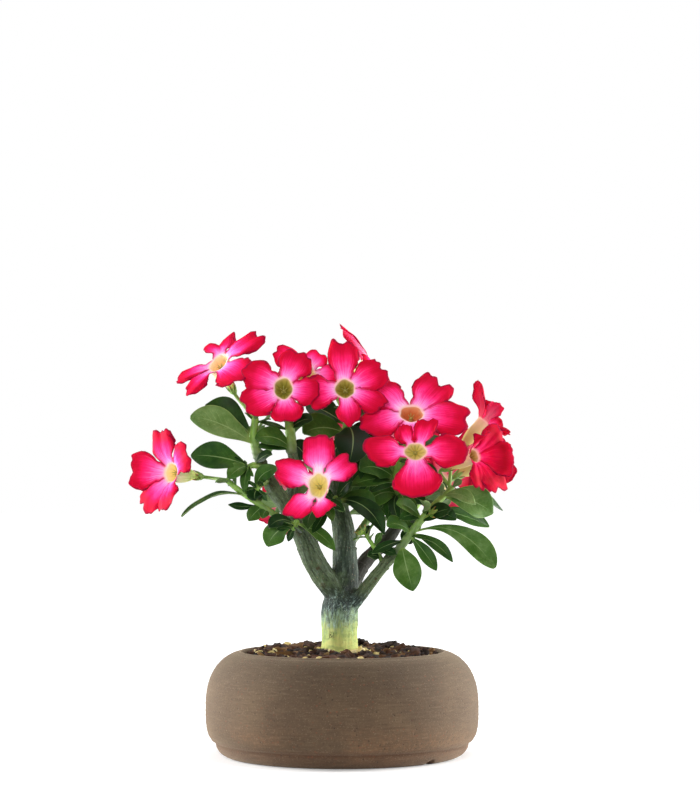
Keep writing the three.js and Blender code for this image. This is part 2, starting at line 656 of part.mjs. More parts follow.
function potSolid() {
  const outline = [[0, 0]];
  for (const turn of FOOT_TURNS.map(radians)) {
    const radius = THREE.MathUtils.lerp(BASE_RADIUS, FOOT_RADIUS, Math.sin(turn));
    outline.push([radius, FOOT_HEIGHT * (1 - Math.cos(turn))]);
  }
  outline.push([GROOVE_RADIUS, GROOVE_HEIGHT]);
  for (const z of BELLY_LEVELS) outline.push([bellyRadius(z), z]);
  for (const turn of LIP_TURNS.map(radians)) {
    const radius = LIP_CENTRE_RADIUS + LIP_RADIUS * Math.cos(turn);
    outline.push([radius, LIP_CENTRE_HEIGHT + LIP_RADIUS * Math.sin(turn)]);
  }
  for (const z of CAVITY_LEVELS.toReversed()) outline.push([cavityRadius(z), z]);
  outline.push([0, FLOOR_THICKNESS]);

  let pot = toSolid(lathe(outline, POT_SEGMENTS));
  const arch = new THREE.Shape().moveTo(-GROOVE_WIDTH / 2, -1);
  arch.lineTo(GROOVE_WIDTH / 2, -1);
  arch.lineTo(GROOVE_WIDTH / 2, 0);
  arch.absellipse(0, 0, GROOVE_WIDTH / 2, GROOVE_DEPTH, 0, Math.PI, false, 0);
  for (const turn of DRAIN_ANGLES) {
    const reach = { depth: POT_RADIUS - GROOVE_START, bevelEnabled: false, curveSegments: 6 };
    const groove = new THREE.ExtrudeGeometry(arch, reach);
    groove.rotateX(Math.PI / 2).rotateZ(Math.PI / 2).translate(POT_RADIUS, 0, 0).rotateZ(radians(turn));
    const depth = 2 * FLOOR_THICKNESS + 2;
    const hole = new THREE.CylinderGeometry(DRAIN_HOLE_RADIUS, DRAIN_HOLE_RADIUS, depth, 12);
    hole.rotateX(Math.PI / 2).translate(DRAIN_HOLE_PLACE, 0, 0).rotateZ(radians(turn));
    pot = pot.subtract(toSolid(groove)).subtract(toSolid(hole));
  }
  return pot;
}

function soilSolid(woodClearance) {
  const outline = [[0, FLOOR_THICKNESS + CLEARANCE]];
  for (const z of CAVITY_LEVELS) {
    const level = z === FLOOR_THICKNESS ? z + CLEARANCE : z;
    outline.push([cavityRadius(z) - 1.5 * CLEARANCE, level]);
  }
  outline.push([0, SOIL_TOP]);
  return toSolid(lathe(outline, POT_SEGMENTS)).subtract(woodClearance);
}

// Mulch surface: level in front of the trunk and heaped towards the back
const heap = (y) => MULCH_HEAP * THREE.MathUtils.smoothstep(y, HEAP_START, HEAP_END);
const ripple = (x, y) => 0.8 * Math.sin(0.21 * x + 1.3) * Math.cos(0.17 * y) + 0.5 * Math.sin(0.4 * (x + y));
const mulchHeight = (x, y) => MULCH_TOP + heap(y) + ripple(x, y);

function mulchSolid(woodClearance) {
  const bottom = SOIL_TOP + CLEARANCE;
  const outline = [[0, bottom], [MULCH_RADIUS, bottom]];
  for (const radius of MULCH_RINGS) outline.push([radius, MULCH_TOP]);
  const bed = lathe(outline, MULCH_SEGMENTS);
  const places = bed.attributes.position;
  for (let i = 0; i < places.count; i += 1) {
    const [x, y, z] = [places.getX(i), places.getY(i), places.getZ(i)];
    if (z > bottom + 1) places.setZ(i, mulchHeight(x, y));
  }
  const pieces = [toSolid(bed)];
  let seed = 7;
  const random = () => {
    seed = (seed * 1664525 + 1013904223) % 4294967296;
    return seed / 4294967296;
  };
  for (let i = 0; i < CHIP_COUNT; i += 1) {
    const radius = CHIP_REACH * Math.sqrt((i + 0.5) / CHIP_COUNT);
    const turn = radians(GOLDEN_ANGLE * i);
    const [x, y] = [radius * Math.cos(turn), radius * Math.sin(turn)];
    const length = CHIP_LENGTH + 4 * random();
    const chip = new THREE.BoxGeometry(length, CHIP_WIDTH + 2 * random(), CHIP_THICKNESS);
    chip.rotateX(0.7 * (random() - 0.5)).rotateY(0.6 * (random() - 0.5)).rotateZ(Math.PI * random());
    chip.translate(x, y, mulchHeight(x, y) + CHIP_LIFT);
    pieces.push(toSolid(chip));
  }
  return join(pieces).subtract(woodClearance);
}

const group = new THREE.Group();

function addNode(name, solid, material) {
  const mesh = new THREE.Mesh(toGeometry(solid), material);
  mesh.name = name;
  group.add(mesh);
}

const woodClearance = woodSolid(CLEARANCE);
addNode('pot', potSolid(), clay);
addNode('soil', soilSolid(woodClearance), soil);
addNode('bark_mulch', mulchSolid(woodClearance), mulch);
addNode('trunk_and_limbs', woodSolid(0), bark);
for (const [name, shoot] of Object.entries(SHOOTS)) {
  addNode(`shoot_${name}`, shootSolid(name, shoot, woodClearance), leafGreen);
}
for (const [name, bloom] of Object.entries(BLOOMS)) addNode(`bloom_${name}`, bloomSolid(bloom), petalRed);

export default group;
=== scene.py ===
import math

import bpy
import numpy as np
from mathutils import Matrix, Vector, kdtree, noise


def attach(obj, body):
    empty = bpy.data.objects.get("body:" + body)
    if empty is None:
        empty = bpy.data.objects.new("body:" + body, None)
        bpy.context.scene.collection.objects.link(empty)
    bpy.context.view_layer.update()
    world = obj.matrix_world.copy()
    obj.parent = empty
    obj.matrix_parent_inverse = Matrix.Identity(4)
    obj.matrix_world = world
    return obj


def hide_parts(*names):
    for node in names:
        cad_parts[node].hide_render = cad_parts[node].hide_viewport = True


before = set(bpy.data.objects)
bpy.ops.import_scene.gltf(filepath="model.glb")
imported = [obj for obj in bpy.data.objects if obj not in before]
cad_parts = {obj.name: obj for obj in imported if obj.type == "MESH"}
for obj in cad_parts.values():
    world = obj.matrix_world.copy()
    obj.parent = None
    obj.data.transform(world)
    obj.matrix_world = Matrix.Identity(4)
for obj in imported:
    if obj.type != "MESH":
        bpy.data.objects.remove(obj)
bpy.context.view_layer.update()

# Shapes are worked out in millimetres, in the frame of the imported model, and stored in metres.
MM = 0.001

# Camera: the photograph's, straight in front, level with the lower crown and tilted up a little
CAMERA_PLACE = (5.8, -1700, 205)
CAMERA_TARGET = (5.8, 0, 265)
CAMERA_LENS = 102.0

# Pot
POT_SEGMENTS = 288
POT_RADIUS = 102
POT_WIDEST_HEIGHT = 38
BASE_RADIUS = 82.6
FOOT_RADIUS = 94.4
FOOT_HEIGHT = 9.6
GROOVE_HEIGHT = 10.6
GROOVE_RADIUS = 94.3
BELLY_START = 13
BELLY_TOP = 76.2
CAVITY_TOP = 70
BELLY_FOOT_RADIUS = 92
BELLY_FOOT_DEPTH = 27
SHOULDER_RADIUS = 70
SHOULDER_RISE = 40
SHOULDER_POWER = 2.2
BELLY_FOOT_POWER = 3
LIP_RADIUS = 3.6
LIP_CENTRE_RADIUS = 76.4
LIP_CENTRE_HEIGHT = 73.9
FLOOR_THICKNESS = 10
FLOOR_RADIUS = 76
INNER_RADIUS = 94
MOUTH_RADIUS = 72.8
DRAIN_GROOVE_WIDTH = 9
DRAIN_GROOVE_DEPTH = 4.6
DRAIN_GROOVE_START = 50
DRAIN_HOLE_RADIUS = 2.7
DRAIN_HOLE_PLACE = 56
DRAIN_HOLE_SIDES = 24
DRAIN_ANGLES = [-45, 75, 195]

# Mulch
SOIL_TOP = 68
MULCH_RADIUS = 72.2
MULCH_TOP = 73
MULCH_HEAP = 4
LIP_HEAP = 2
FOOT_HEAP = 3
SMALL_LUMP = 6
HEAP_START = -15
HEAP_END = 55

# Leaves and blooms
LARGE_LEAF = 12
LARGE_LEAF_GRID = (30, 11)
SMALL_LEAF_GRID = (20, 9)
LEAF_FOLD = 0.34
LEAF_TWIST = 9
LEAF_STALK_THICKNESS = 2
LEAF_THICKNESS = 0.85
LEAF_WAVE = 0.055
LEAF_DROOP = 0.05
MIDRIB_HEIGHT = 0.5
MIDRIB_WIDTH = 0.9
VEIN_HEIGHT = 0.14
PETIOLE_SHARE = 0.09
GOLDEN_ANGLE = 137.5
SPIRAL_SPREAD = 0.86
SPIRAL_CLIMB = 0.45
SPIRAL_ARCH = 0.16
SPIRAL_WIDTH = 0.42
SPIRAL_SHORTENING = 0.25
PETAL_ROWS = 30
PETAL_COLUMNS = 25
PETAL_WIDTH = 23
PETAL_BLUNTNESS = 2.5
PETAL_RUFFLE = 1.5
PETAL_FOOT_THICKNESS = 0.55
PETAL_THICKNESS = 0.3
WIDEST_PART = 0.63
TUBE_ROWS = 10
TUBE_LENGTH = 27
MOUTH_OF_BLOOM = 7.2
TUBE_HEIGHTS = [-27, -22, -18, -14, -8, 0]
TUBE_RADII = [2.1, 2.7, 4.1, 5.7, 6.7, 7.2]
LINING_ROWS = 12
LINING_HEIGHTS = [-0.4, -1.6, -3, -4.6, -6.2, -7.6, -8.6, -9.2]
LINING_RADII = [6.9, 6.6, 6.0, 5.1, 4.0, 2.8, 1.6, 0.5]
LINING_DEPTH = 11
LINING_THICKNESS = 0.3
CLEARANCE = 0.3
STALK_RADIUS = 1.35
STALK_BOW = -10
CALYX_RADIUS = 3
CALYX_DEPTH = 2
CALYX_NECK = -5
LOBE_ROWS = 8
LOBE_COLUMNS = 5
LOBE_HALF_WIDTH = 1.7
LOBE_THICKNESS = 0.6

# Woody limbs: each row is x, y, z and the radius there.
LIMBS = {
    "trunk": [
        (-2, 0, 40, 13.6), (-2, 0, 74, 13.9), (-2, 0, 91, 13.5), (-2, 0, 106, 14.1), (-1, 0, 115, 13),
        (0, 1, 126, 9),
    ],
    "left": [
        (0, 0, 113, 8), (-6, -3, 122, 8.4), (-14, -5, 133, 8.8), (-22, -8, 147, 8.6), (-31, -12, 168, 7.6),
        (-41, -12, 185, 6.6), (-51, -8, 198, 5.9), (-59, -4, 213, 4.8), (-63, -2, 226, 4.2),
    ],
    "middle": [
        (0, 2, 106, 11), (2, 3, 126, 10), (2, 4, 146, 9.4), (1, 6, 167, 8.4), (-3, 10, 186, 7),
        (-5, 16, 204, 6), (-1, 20, 223, 5), (3, 20, 236, 4.4),
    ],
    "right_rear": [
        (2, 6, 111, 8), (9, 16, 130, 6.4), (19, 28, 145, 5.6), (33, 36, 158, 5.2), (43, 38, 173, 4.6),
        (47, 34, 186, 4.3),
    ],
    "right": [(4, -4, 107, 6), (12, -6, 117.5, 5), (26, -10, 135, 4.6), (40, -14, 152, 4.2)],
    "riser": [(-38, -11, 180, 4.6), (-38, 0, 194, 4.6), (-36, 2, 214, 4.3), (-38, 0, 230, 4)],
    "rear": [(1, 8, 110, 8), (2, 28, 132, 6.6), (1, 46, 151, 5.6), (-4, 58, 172, 5), (-8, 62, 190, 4.5)],
}

# Leafy shoots. stem rows are x, y, z and the radius. A leaf row is: place along the stem (0 to 1),
# tip x, y, z, sideways and upward bend, width, its face's lean from upwards (0) to the front (90), and maybe
# how pale it is (0 to 1) and how pointed (0 to 1). The paleness is partly painted light: low values paint
# shade on leaves deep in the crown, and the palest, greyest leaves carry a painted sheen.
# A spiral gives leaves at the golden angle instead: count, first place, last place, first angle, length.
# A bud row is: place along the stem, tip x, y, z and radius.
SHOOTS = {
    "upper_left": {
        "stem": [(-63, -2, 222, 3.8), (-66, -4, 237, 3.4), (-65, -6, 251, 2.6)],
        "leaves": [
            (0.3, -112, -24, 252, 0, 8, 24, 62, 0.8), (0.45, -103, 2, 262, 0, 9, 22, 55, 0.2, 0.4),
            (0.3, -72, 38, 244, 0, 12, 21, -35), (0.6, -38, 26, 262, 0, 8, 18, -20),
        ],
    },
    "centre_left": {
        "stem": [(-38, 0, 226, 4.2), (-39, 0, 241, 3.8), (-40, -2, 249, 3.2)],
        "leaves": [
            (0.05, -65, -12, 236, 3, 9, 16, 60, 0.5), (0.02, -64, -6, 230, 3, 5, 9, 60, 0.35, 0.6),
            (0.55, -64, -6, 249, 2, 0, 7, 40, 0.4, 0.6), (0.3, -60, 8, 222, 0, 6, 12, 30),
            (0.3, -30, 38, 246, 0, 12, 20, -30), (0.15, -27, 12, 221, 0, 6, 17, 65, 0.08, 0.3),
            (0.6, -22, -12, 250, 0, 5, 12, 60, 0.1, 0.5),
        ],
    },
    "centre_top": {
        "stem": [(3, 20, 232, 3.4), (3, 16, 244, 3), (4, 11, 254, 2.4)],
        "leaves": [
            (0.32, -29, 2, 240, -2, 9, 23, 75, 0.5), (0.6, -28, 24, 263, 0, 4, 20, 50, 0.15),
            (0.6, 5, -20, 216, 8, 11, 28, 44, -0.2, 0.1), (0.35, 27, 0, 233, 0, 8, 22, 75, 0.05),
            (0.35, 7, -8, 201, 6, 4, 20, 80, 0.1), (0.7, 30, 30, 254, 0, 6, 20, 20),
            (0.5, -2, 58, 256, 0, 12, 21, -30), (0.2, 24, 2, 214, 2, 6, 18, 70, 0.03, 0.4),
            (0.2, -14, 4, 214, 0, 5, 16, 75, 0.05, 0.3),
        ],
    },
    "upper_right": {
        "stem": [(47, 34, 183, 3.4), (41, 18, 203, 3), (42, -4, 224, 2.6)],
        "leaves": [
            (0.55, 13, -10, 213, -1, 10, 20, 70, 0.4), (0.25, 16, 0, 185, 0, 12, 19, 65, 0.6),
            (0.35, 49, -6, 169, 4, 7, 17, 85, 0.5), (0.2, 28, 4, 172, -10, 9, 10, 60, 0.5),
            (0.4, 72, 6, 209, 0, 8, 18, 50, 0.3), (0.7, 78, 20, 236, 0, 8, 20, 30),
            (0.8, 22, 20, 238, 0, 6, 18, 30), (0.6, 52, 56, 234, 0, 8, 21, -35),
            (0.5, 6, -12, 200, 0, 8, 13, 60, 0.4, 0.6), (0.3, 44, -14, 171, -9, 6, 9, 80, 0.02, 1),
            (0.45, 20, -8, 196, 0, 8, 11, 70, 0.1, 0.6), (0.3, 34, 0, 176, -3, 4, 11, 80, 0.3, 0.6),
            (0.3, 62, 2, 186, 2, 4, 12, 70, 0.2, 0.4),
        ],
    },
    "right_low": {
        "stem": [
            (38, -13, 148, 3.4), (49, -18, 163, 3), (59, -20, 176, 2.8), (70, -18, 188, 2.6),
            (82, -12, 199, 2.3),
        ],
        "leaves": [
            (0.85, 113, -6, 180, 0, 8, 24, 75, 0.7), (0.85, 98, -30, 187, 0, 9, 11, 60, 0.8, 0.4),
            (0.94, 121, 10, 182, 0, 12, 10, 40, 0.4, 0.6), (0.65, 111, 6, 170, 0, 4, 14, 60, 0.4),
            (0.3, 113, -22, 139.5, 5, 28, 18, 70, 0.66, -3), (0.3, 81, -36, 145, 4, 6, 9, 70, 0.35, 0.4),
            (0.6, 84, -30, 176, -2, 5, 13, 65, 0.15, 0.3), (0.4, 58, -6, 168, -4, 8, 12, 70, 0.15, 0.6),
            (0.5, 42, -30, 176, 2, 6, 10, 60, 0.3, 0.6), (0.14, 52, -36, 124, -2, 4, 21, 85, 0.6),
            (0.27, 70, -20, 138, 0, 3, 11, 70), (0.2, 22, -28, 151, 0, 3, 8, 50),
            (0.6, 78, 30, 186, 0, 10, 20, -20), (0.3, 33, -44, 172, 0, 6, 14, 65),
            (0.5, 40, -40, 188, 0, 5, 12, 60), (0.42, 46, -2, 157, 0, 3, 12, 70),
            (0.45, 80, -32, 184, 0, 3, 13, 60, 0.1, 0.1), (0.25, 66, -30, 160, 0, 3, 5, 40, 0.3, 1),
            (0.55, 60, -42, 190, 0, 4, 9, 60, 0.5, 0.8),
        ],
        "buds": [(0.5, 70, -31, 183, 1.6)],
    },
    "left_long": {
        "stem": [
            (-38, -11, 173, 2.8), (-51, -18, 180, 2.6), (-64, -20, 189, 2.4), (-76, -18, 197, 2.2),
            (-86, -14, 205, 2),
        ],
        "leaves": [
            (0.62, -119, -26, 178, 1, 16, 14, 8, 0.4), (0.42, -84, -26, 187, 0, -3, 7, 50, 0.1),
            (0.4, -69, -26, 175, 0, 2, 11, 80, 0.55), (0.34, -59, -26, 177, 0, 2, 8, 80, 0.45),
            (0.45, -66, 14, 192, 0, 8, 18, -20),
        ],
    },
    "left_spur": {
        "stem": [(-59, -4, 214, 2.6), (-66, -12, 216, 2.3), (-71, -16, 214, 2)],
        "leaves": [
            (0.8, -112, -24, 223, 2, 5, 22, 62, 0.36), (0.8, -84, -26, 206, 0, 5, 13, 55, 0.6),
            (0.64, -72, -26, 196, -3, 7, 8, 60), (0.45, -52, -20, 224, 0, 4, 9, 60),
        ],
    },
    "inner_left_spur": {
        "stem": [(-54, -8, 204, 2.4), (-60, -16, 202, 2.1), (-63, -22, 198, 1.8)],
        "leaves": [(0.95, -47, -32, 214, -9, 4, 12, 75), (0.9, -64, -28, 190, -3, 0, 12, 75, 0.05, 0.4)],
    },
    "fork_spur": {
        "stem": [(-34, -12, 174, 2.4), (-34, -24, 173, 2.1), (-36, -28, 169, 1.8)],
        "leaves": [
            (0.68, -54, -34, 170, -1, 9, 12, 45, 0.08), (0.8, -55, -28, 156, -4, 8, 17, 75, 0.55),
            (0.5, -5, -18, 153, 2, 6, 11, 60, 0.6, 0.4),
        ],
    },
    "front": {
        "stem": [(-5, 5, 186, 2.8), (-12, -12, 188, 2.4), (-16, -28, 196, 2)],
        "leaves": [
            (0.57, -25, -36, 169, -8, 3, 10, 60), (0.4, -22, -24, 166, 3, 2, 8, 70, 0.2),
            (0.54, -7, -30, 175, 0, 3, 7, 60, 0.6), (0.7, 2, -34, 182, 0, 3, 7, 70, 0.15, 0.8),
        ],
    },
    "front_right": {
        "stem": [(1, 8, 181, 2.6), (-3, -8, 187, 2.2), (-5, -18, 192, 1.8)],
        "leaves": [
            (0.8, 31, -36, 165, 6, 15, 16, 60, 0.05, 0.7), (0.82, 7, -24, 204, 0, 4, 12, 60),
            (0.6, 24, -20, 186, 0, 8, 17, 60),
        ],
    },
    "star_twig": {
        "stem": [(32, -9, 141, 2), (25, -14, 153, 1.7), (18, -18, 164, 1.5)],
        "leaves": [
            (0.5, 40, -28, 150, 0, 2, 7, 60), (0.25, 19, -24, 149, 0, 2, 8, 75, 0.1, 0),
            (0.6, 30, -22, 166, 0, 2, 6, 60, 0.5, 0.8),
        ],
        "buds": [(0.95, 14, -20, 168, 1.6)],
    },
    "left_back": {
        "stem": [(-41, -9, 184, 2.8), (-42, 0, 184, 2.4), (-42, 8, 186, 2.2)],
        "spiral": (3, 0.65, 0.95, 40, 38),
    },
    "middle_back": {
        "stem": [(1, 10, 168, 3), (2, 24, 182, 2.6), (4, 34, 200, 2.2)],
        "leaves": [
            (0.8, 34, 24, 206, 0, 6, 16, 50, 0.08, 0.4), (0.95, 3, 26, 221, 0, 0, 16, 70, 0.05, 0.3),
            (0.6, 28, 18, 188, 0, 5, 14, 55, 0.15, 0.4), (0.7, -22, 22, 194, 0, 5, 14, 50, 0.1, 0.4),
        ],
        "spiral": (5, 0.35, 0.98, 20, 42),
    },
    "rear_top": {
        "stem": [(-8, 62, 187, 3.3), (-9, 66, 200, 2.8), (-8, 67, 212, 2.4)],
        "spiral": (6, 0.3, 0.88, 280, 42),
    },
    "rear_right": {
        "stem": [(3, 47, 152, 3.3), (18, 59, 172, 2.8), (31, 63, 195, 2.5), (38, 63, 214, 2.3)],
        "spiral": (6, 0.35, 0.9, 20, 42),
    },
    "right_back": {
        "stem": [(43, 39, 172, 2.9), (56, 46, 184, 2.5), (61, 48, 192, 2.2)],
        "spiral": (4, 0.4, 0.9, 165, 42),
    },
}

# Blooms: the shoot that the stalk grows from, the mouth's middle, the way it faces and how deep its red is
# (0 to 1). "from" is the stalk's place on the shoot where that isn't its end. Where they aren't plain, "dim"
# and "warmth" say how dim and how orange the throat is (0 to 1), "dim" being painted shade in the throat,
# "throat" its width and height, and "waist" how wide the petals start. Each has five petals. A petal row is:
# angle round the mouth, reach, forward lean, and maybe a width. A row may go on with how much longer its
# tip's middle is (less than 0 for a notch), its slant and its bluntness.
PLAIN_WARMTH = 0.3
PLAIN_THROAT = (1, 1)
PLAIN_WAIST = 0.5
BLOOMS = {
    "far_left_top": {
        "shoot": "upper_left", "mouth": (-92, -14, 292), "facing": (-0.35, -0.62, 0.7),
        "depth": 0.5, "dim": 0.3, "warmth": 0.9, "throat": (0.95, 1.3), "waist": 0.4,
        "petals": [
            (112, 33, 2, 25, -0.32, -0.2, 5), (43, 38, 8, 21, -0.06, -0.1, 4), (-32, 35, 2, 30),
            (-115, 34, 0, 16), (-150, 33, 2, 16, 0.05, 0.1, 3),
        ],
    },
    "left_top": {
        "shoot": "centre_left", "mouth": (-43, -40, 272), "facing": (0, -0.97, 0.22),
        "depth": 0.6, "warmth": 0.05, "throat": (0.95, 1.15), "waist": 0.62,
        "petals": [
            (65, 31, 6, 25), (155, 32, 4, 24), (-153, 33, 4, 26), (-81, 27, 8, 24), (-10, 26, 8, 22),
        ],
    },
    "left_top_back": {
        "shoot": "centre_left", "from": 0.95, "mouth": (-27, -2, 284), "facing": (0.15, -0.85, 0.5),
        "depth": 0.2, "warmth": 0.4,
        "petals": [(134, 31, 6, 20), (58, 23, 6, 18), (-10, 24, 8), (-80, 20, 6), (-155, 22, 2)],
    },
    "centre_top": {
        "shoot": "centre_top", "mouth": (2, -38, 272), "facing": (-0.05, -0.97, 0.2),
        "depth": 0.7, "warmth": 0.1, "waist": 0.6,
        "petals": [
            (93, 36, 6, 22, -0.06, 0.1, 4), (27, 33, 6, 24), (-26, 33, 2, 18), (-80, 28, 4, 19, 0.08, 0, 2),
            (-170, 28, 8, 25, -0.05, 0, 5),
        ],
    },
    "centre_top_back": {
        "shoot": "centre_top", "from": 0.95, "mouth": (22, 20, 292), "facing": (0.8, 0.15, 0.57),
        "depth": 0.72,
        "petals": [
            (99, 39, -4, 20, 0, 0.16, 4), (18, 31, 5), (-54, 30, 6), (-126, 30, 4), (162, 20, -15, 16),
        ],
    },
    "right_top": {
        "shoot": "upper_right", "mouth": (51, -35, 253.5), "facing": (0.05, -0.85, 0.52),
        "depth": 0.5, "warmth": 1, "throat": (1.2, 1),
        "petals": [
            (141, 41, 6, 27), (51, 38, 6, 28, -0.12, -0.02, 6), (-9, 42, 4, 28, -0.03, 0, 4),
            (-100, 24, -8), (-162, 38, 2, 26),
        ],
    },
    "right_front": {
        "shoot": "upper_right", "from": 0.97, "mouth": (53, -66, 225.5), "facing": (0, -0.95, 0.12),
        "depth": 0.7, "dim": 0.53, "warmth": 0.2, "throat": (1.1, 0.85), "waist": 0.42,
        "petals": [
            (-87, 34, 6, 34, 0.02, 0, 2.6), (180, 36, 4, 23), (1, 37, 4, 24),
            (118, 23, 30, 11, 0.05, 0.1, 2), (68, 26, 16, 15, -0.05, -0.2, 5),
        ],
    },
    "far_right": {
        "shoot": "right_low", "mouth": (97, -30, 223), "facing": (0.65, -0.55, 0.3), "depth": 1,
        "throat": (0.8, 0.74),
        "petals": [
            (36, 32, 28, 18), (-19, 31, 35, 28, 0.02, 0, 4), (-70, 33, 15, 25, -0.08, 0.1, 5),
            (-108, 29, 8, 17), (105, 22, 60, 14),
        ],
    },
    "far_right_back": {
        "shoot": "right_low", "from": 0.97, "mouth": (103, 22, 219), "facing": (0.6, 0.6, 0.4),
        "depth": 0.85,
        "petals": [(80, 26, 10), (158, 32, 10), (203, 32, 10), (285, 30, 4), (20, 26, 6)],
    },
    "far_right_top": {
        "shoot": "right_low", "from": 0.95, "mouth": (106, 2, 248), "facing": (0.66, 0.15, 0.72),
        "depth": 0.9, "throat": (0.72, 0.72),
        "petals": [
            (112, 33, 34, 15, 0.04, 0, 3.4), (28, 20, 62, 12), (-44, 18, 48, 13), (-116, 22, 20, 14),
            (168, 20, 60, 13),
        ],
    },
    "far_left": {
        "shoot": "left_long", "mouth": (-127, -14, 210.5), "facing": (-0.7, -0.7, 0.1),
        "depth": 0.6, "dim": 0, "warmth": 0.4,
        "petals": [
            (111, 35, 10, 22, -0.05, 0.12, 5), (179, 33, 35, 28, -0.08, 0, 4), (-118, 35, 22, 26),
            (-68, 34, 26, 24), (36, 28, 12, 26),
        ],
    },
    "front": {
        "shoot": "front", "mouth": (-17, -62, 201), "facing": (-0.1, -0.97, 0.15), "depth": 0.05,
        "warmth": 0.3, "throat": (0.98, 1.25), "waist": 0.36,
        "petals": [
            (90, 37, 5, 23, 0, 0, 4.5), (156, 34, 5, 21), (-131, 31, 5, 18), (-76, 23, 14, 17, 0, -0.25, 3),
            (37, 31, 5, 18, -0.1, 0, 7),
        ],
    },
    "left_back": {
        "shoot": "left_back", "mouth": (-41, 50, 189), "facing": (-0.1, 0.9, 0.1), "depth": 0.4,
        "petals": [(-22, 27, 6), (47, 24, 4), (119, 26, 10), (191, 26, 2), (263, 26, 6)],
    },
    "rear_right": {
        "shoot": "rear_right", "mouth": (50, 92, 240), "facing": (0.25, 0.85, 0.3), "depth": 0.6,
        "petals": [(90, 24, 8), (162, 30, 4), (234, 31, 10), (306, 30, 2), (18, 31, 6)],
    },
    "rear_left": {
        "shoot": "rear_top", "mouth": (-6, 101, 227), "facing": (-0.05, 0.95, 0.1), "depth": 0.3,
        "petals": [(90, 28, 8), (162, 28, 4), (234, 30, 10), (306, 28, 2), (8, 23, 6)],
    },
    "right_back": {
        "shoot": "right_back", "mouth": (78, 70, 203), "facing": (0.5, 0.75, 0.1), "depth": 0.5,
        "petals": [(90, 27, 8), (162, 27, 4), (234, 26, 10), (306, 26, 2), (18, 27, 6)],
    },
}


# Small sums on arrays

def unit(v):
    return v / np.linalg.norm(v, axis=-1, keepdims=True)


def lerp(a, b, t):
    return a + (b - a) * t


def smoothstep(x, low, high):
    t = np.clip((x - low) / (high - low), 0, 1)
    return t * t * (3 - 2 * t)


def level_way(angle):
    """A level vector of length 1 at an angle in radians."""
    return np.array([math.cos(angle), math.sin(angle), 0])


def spread(count):
    """Numbers from -1 to 1 that lie closer together near both ends."""
    return np.sin(np.pi / 2 * np.linspace(-1, 1, count))


def distances(path):
    """How far along a path each of its points is."""
    return np.concatenate([[0], np.cumsum(np.linalg.norm(np.diff(path, axis=0), axis=1))])


def bezier(a, b, c, t):
    """Point and direction on a quadratic curve, one row for each t."""
    t = np.asarray(t, float)[..., None]
    point = (1 - t) ** 2 * a + 2 * t * (1 - t) * b + t ** 2 * c
    direction = 2 * (1 - t) * (b - a) + 2 * t * (c - b)
    return point, unit(direction)


def spline_point(points, t):
    """A centripetal Catmull-Rom curve through the points, at t from 0 to 1."""
    count = len(points)
    place = t * (count - 1)
    i = min(int(place), count - 2)
    w = place - i
    p1, p2 = points[i], points[i + 1]
    p0 = points[i - 1] if i > 0 else 2 * p1 - p2
    p3 = points[i + 2] if i + 2 < count else 2 * p2 - p1
    d0, d1, d2 = (np.linalg.norm(b - a) ** 0.5 for a, b in ((p0, p1), (p1, p2), (p2, p3)))
    t1 = ((p1 - p0) / d0 - (p2 - p0) / (d0 + d1) + (p2 - p1) / d1) * d1
    t2 = ((p2 - p1) / d1 - (p3 - p1) / (d1 + d2) + (p3 - p2) / d2) * d1
    return p1 + t1 * w + (3 * (p2 - p1) - 2 * t1 - t2) * w ** 2 + (2 * (p1 - p2) + t1 + t2) * w ** 3


def spline_direction(points, t):
    """Which way that curve runs at t."""
    step = 0.002
    return unit(spline_point(points, min(t + step, 1)) - spline_point(points, max(t - step, 0)))


def stem_points(rows):
    return np.array([row[:3] for row in rows], float)


def centreline(rows, spacing):
    """Points and radii along a stem, about spacing apart."""
    points = stem_points(rows)
    ts = np.linspace(0, 1, max(4, round(distances(points)[-1] / spacing)) + 1)
    radii = np.interp(ts * (len(rows) - 1), range(len(rows)), [row[3] for row in rows])
    return np.array([spline_point(points, t) for t in ts]), radii


# Meshes: a part is (points, faces, values), where values holds named numbers for each point.

def grid_faces(rows, columns, closed=False):
    """Squares over a grid of points, wound so that they face (along the rows) x (along a row)."""
    last = columns if closed else columns - 1
    i, j = np.meshgrid(np.arange(rows - 1), np.arange(last), indexing="ij")
    k = (j + 1) % columns
    quads = np.stack([i * columns + j, (i + 1) * columns + j, (i + 1) * columns + k, i * columns + k], -1)
    return quads.reshape(-1, 4)


def point_normals(points, quads):
    """The way that a sheet of squares faces at each of its points."""
    across = np.cross(points[quads[:, 2]] - points[quads[:, 0]], points[quads[:, 3]] - points[quads[:, 1]])
    normals = np.zeros_like(points)
    for corner in range(4):
        np.add.at(normals, quads[:, corner], across)
    return unit(normals + 1e-12)


def thicken(points, quads, thickness, values):
    """A closed shell round a sheet. The value topside is 1 on the face that the squares look to."""
    offset = point_normals(points, quads) * np.reshape(thickness, (-1, 1)) / 2
    count = len(points)
    edges = np.concatenate([quads[:, [c, (c + 1) % 4]] for c in range(4)])
    key = edges[:, 0] * count + edges[:, 1]
    back = edges[:, 1] * count + edges[:, 0]
    rim = edges[~np.isin(key, back)]
    sides = np.stack([rim[:, 1], rim[:, 0], rim[:, 0] + count, rim[:, 1] + count], 1)
    faces = np.concatenate([quads, quads[:, ::-1] + count, sides])
    doubled = {name: np.concatenate([value, value]) for name, value in values.items()}
    doubled["topside"] = np.repeat([1.0, 0.0], count)
    return np.concatenate([points + offset, points - offset]), faces.tolist(), doubled


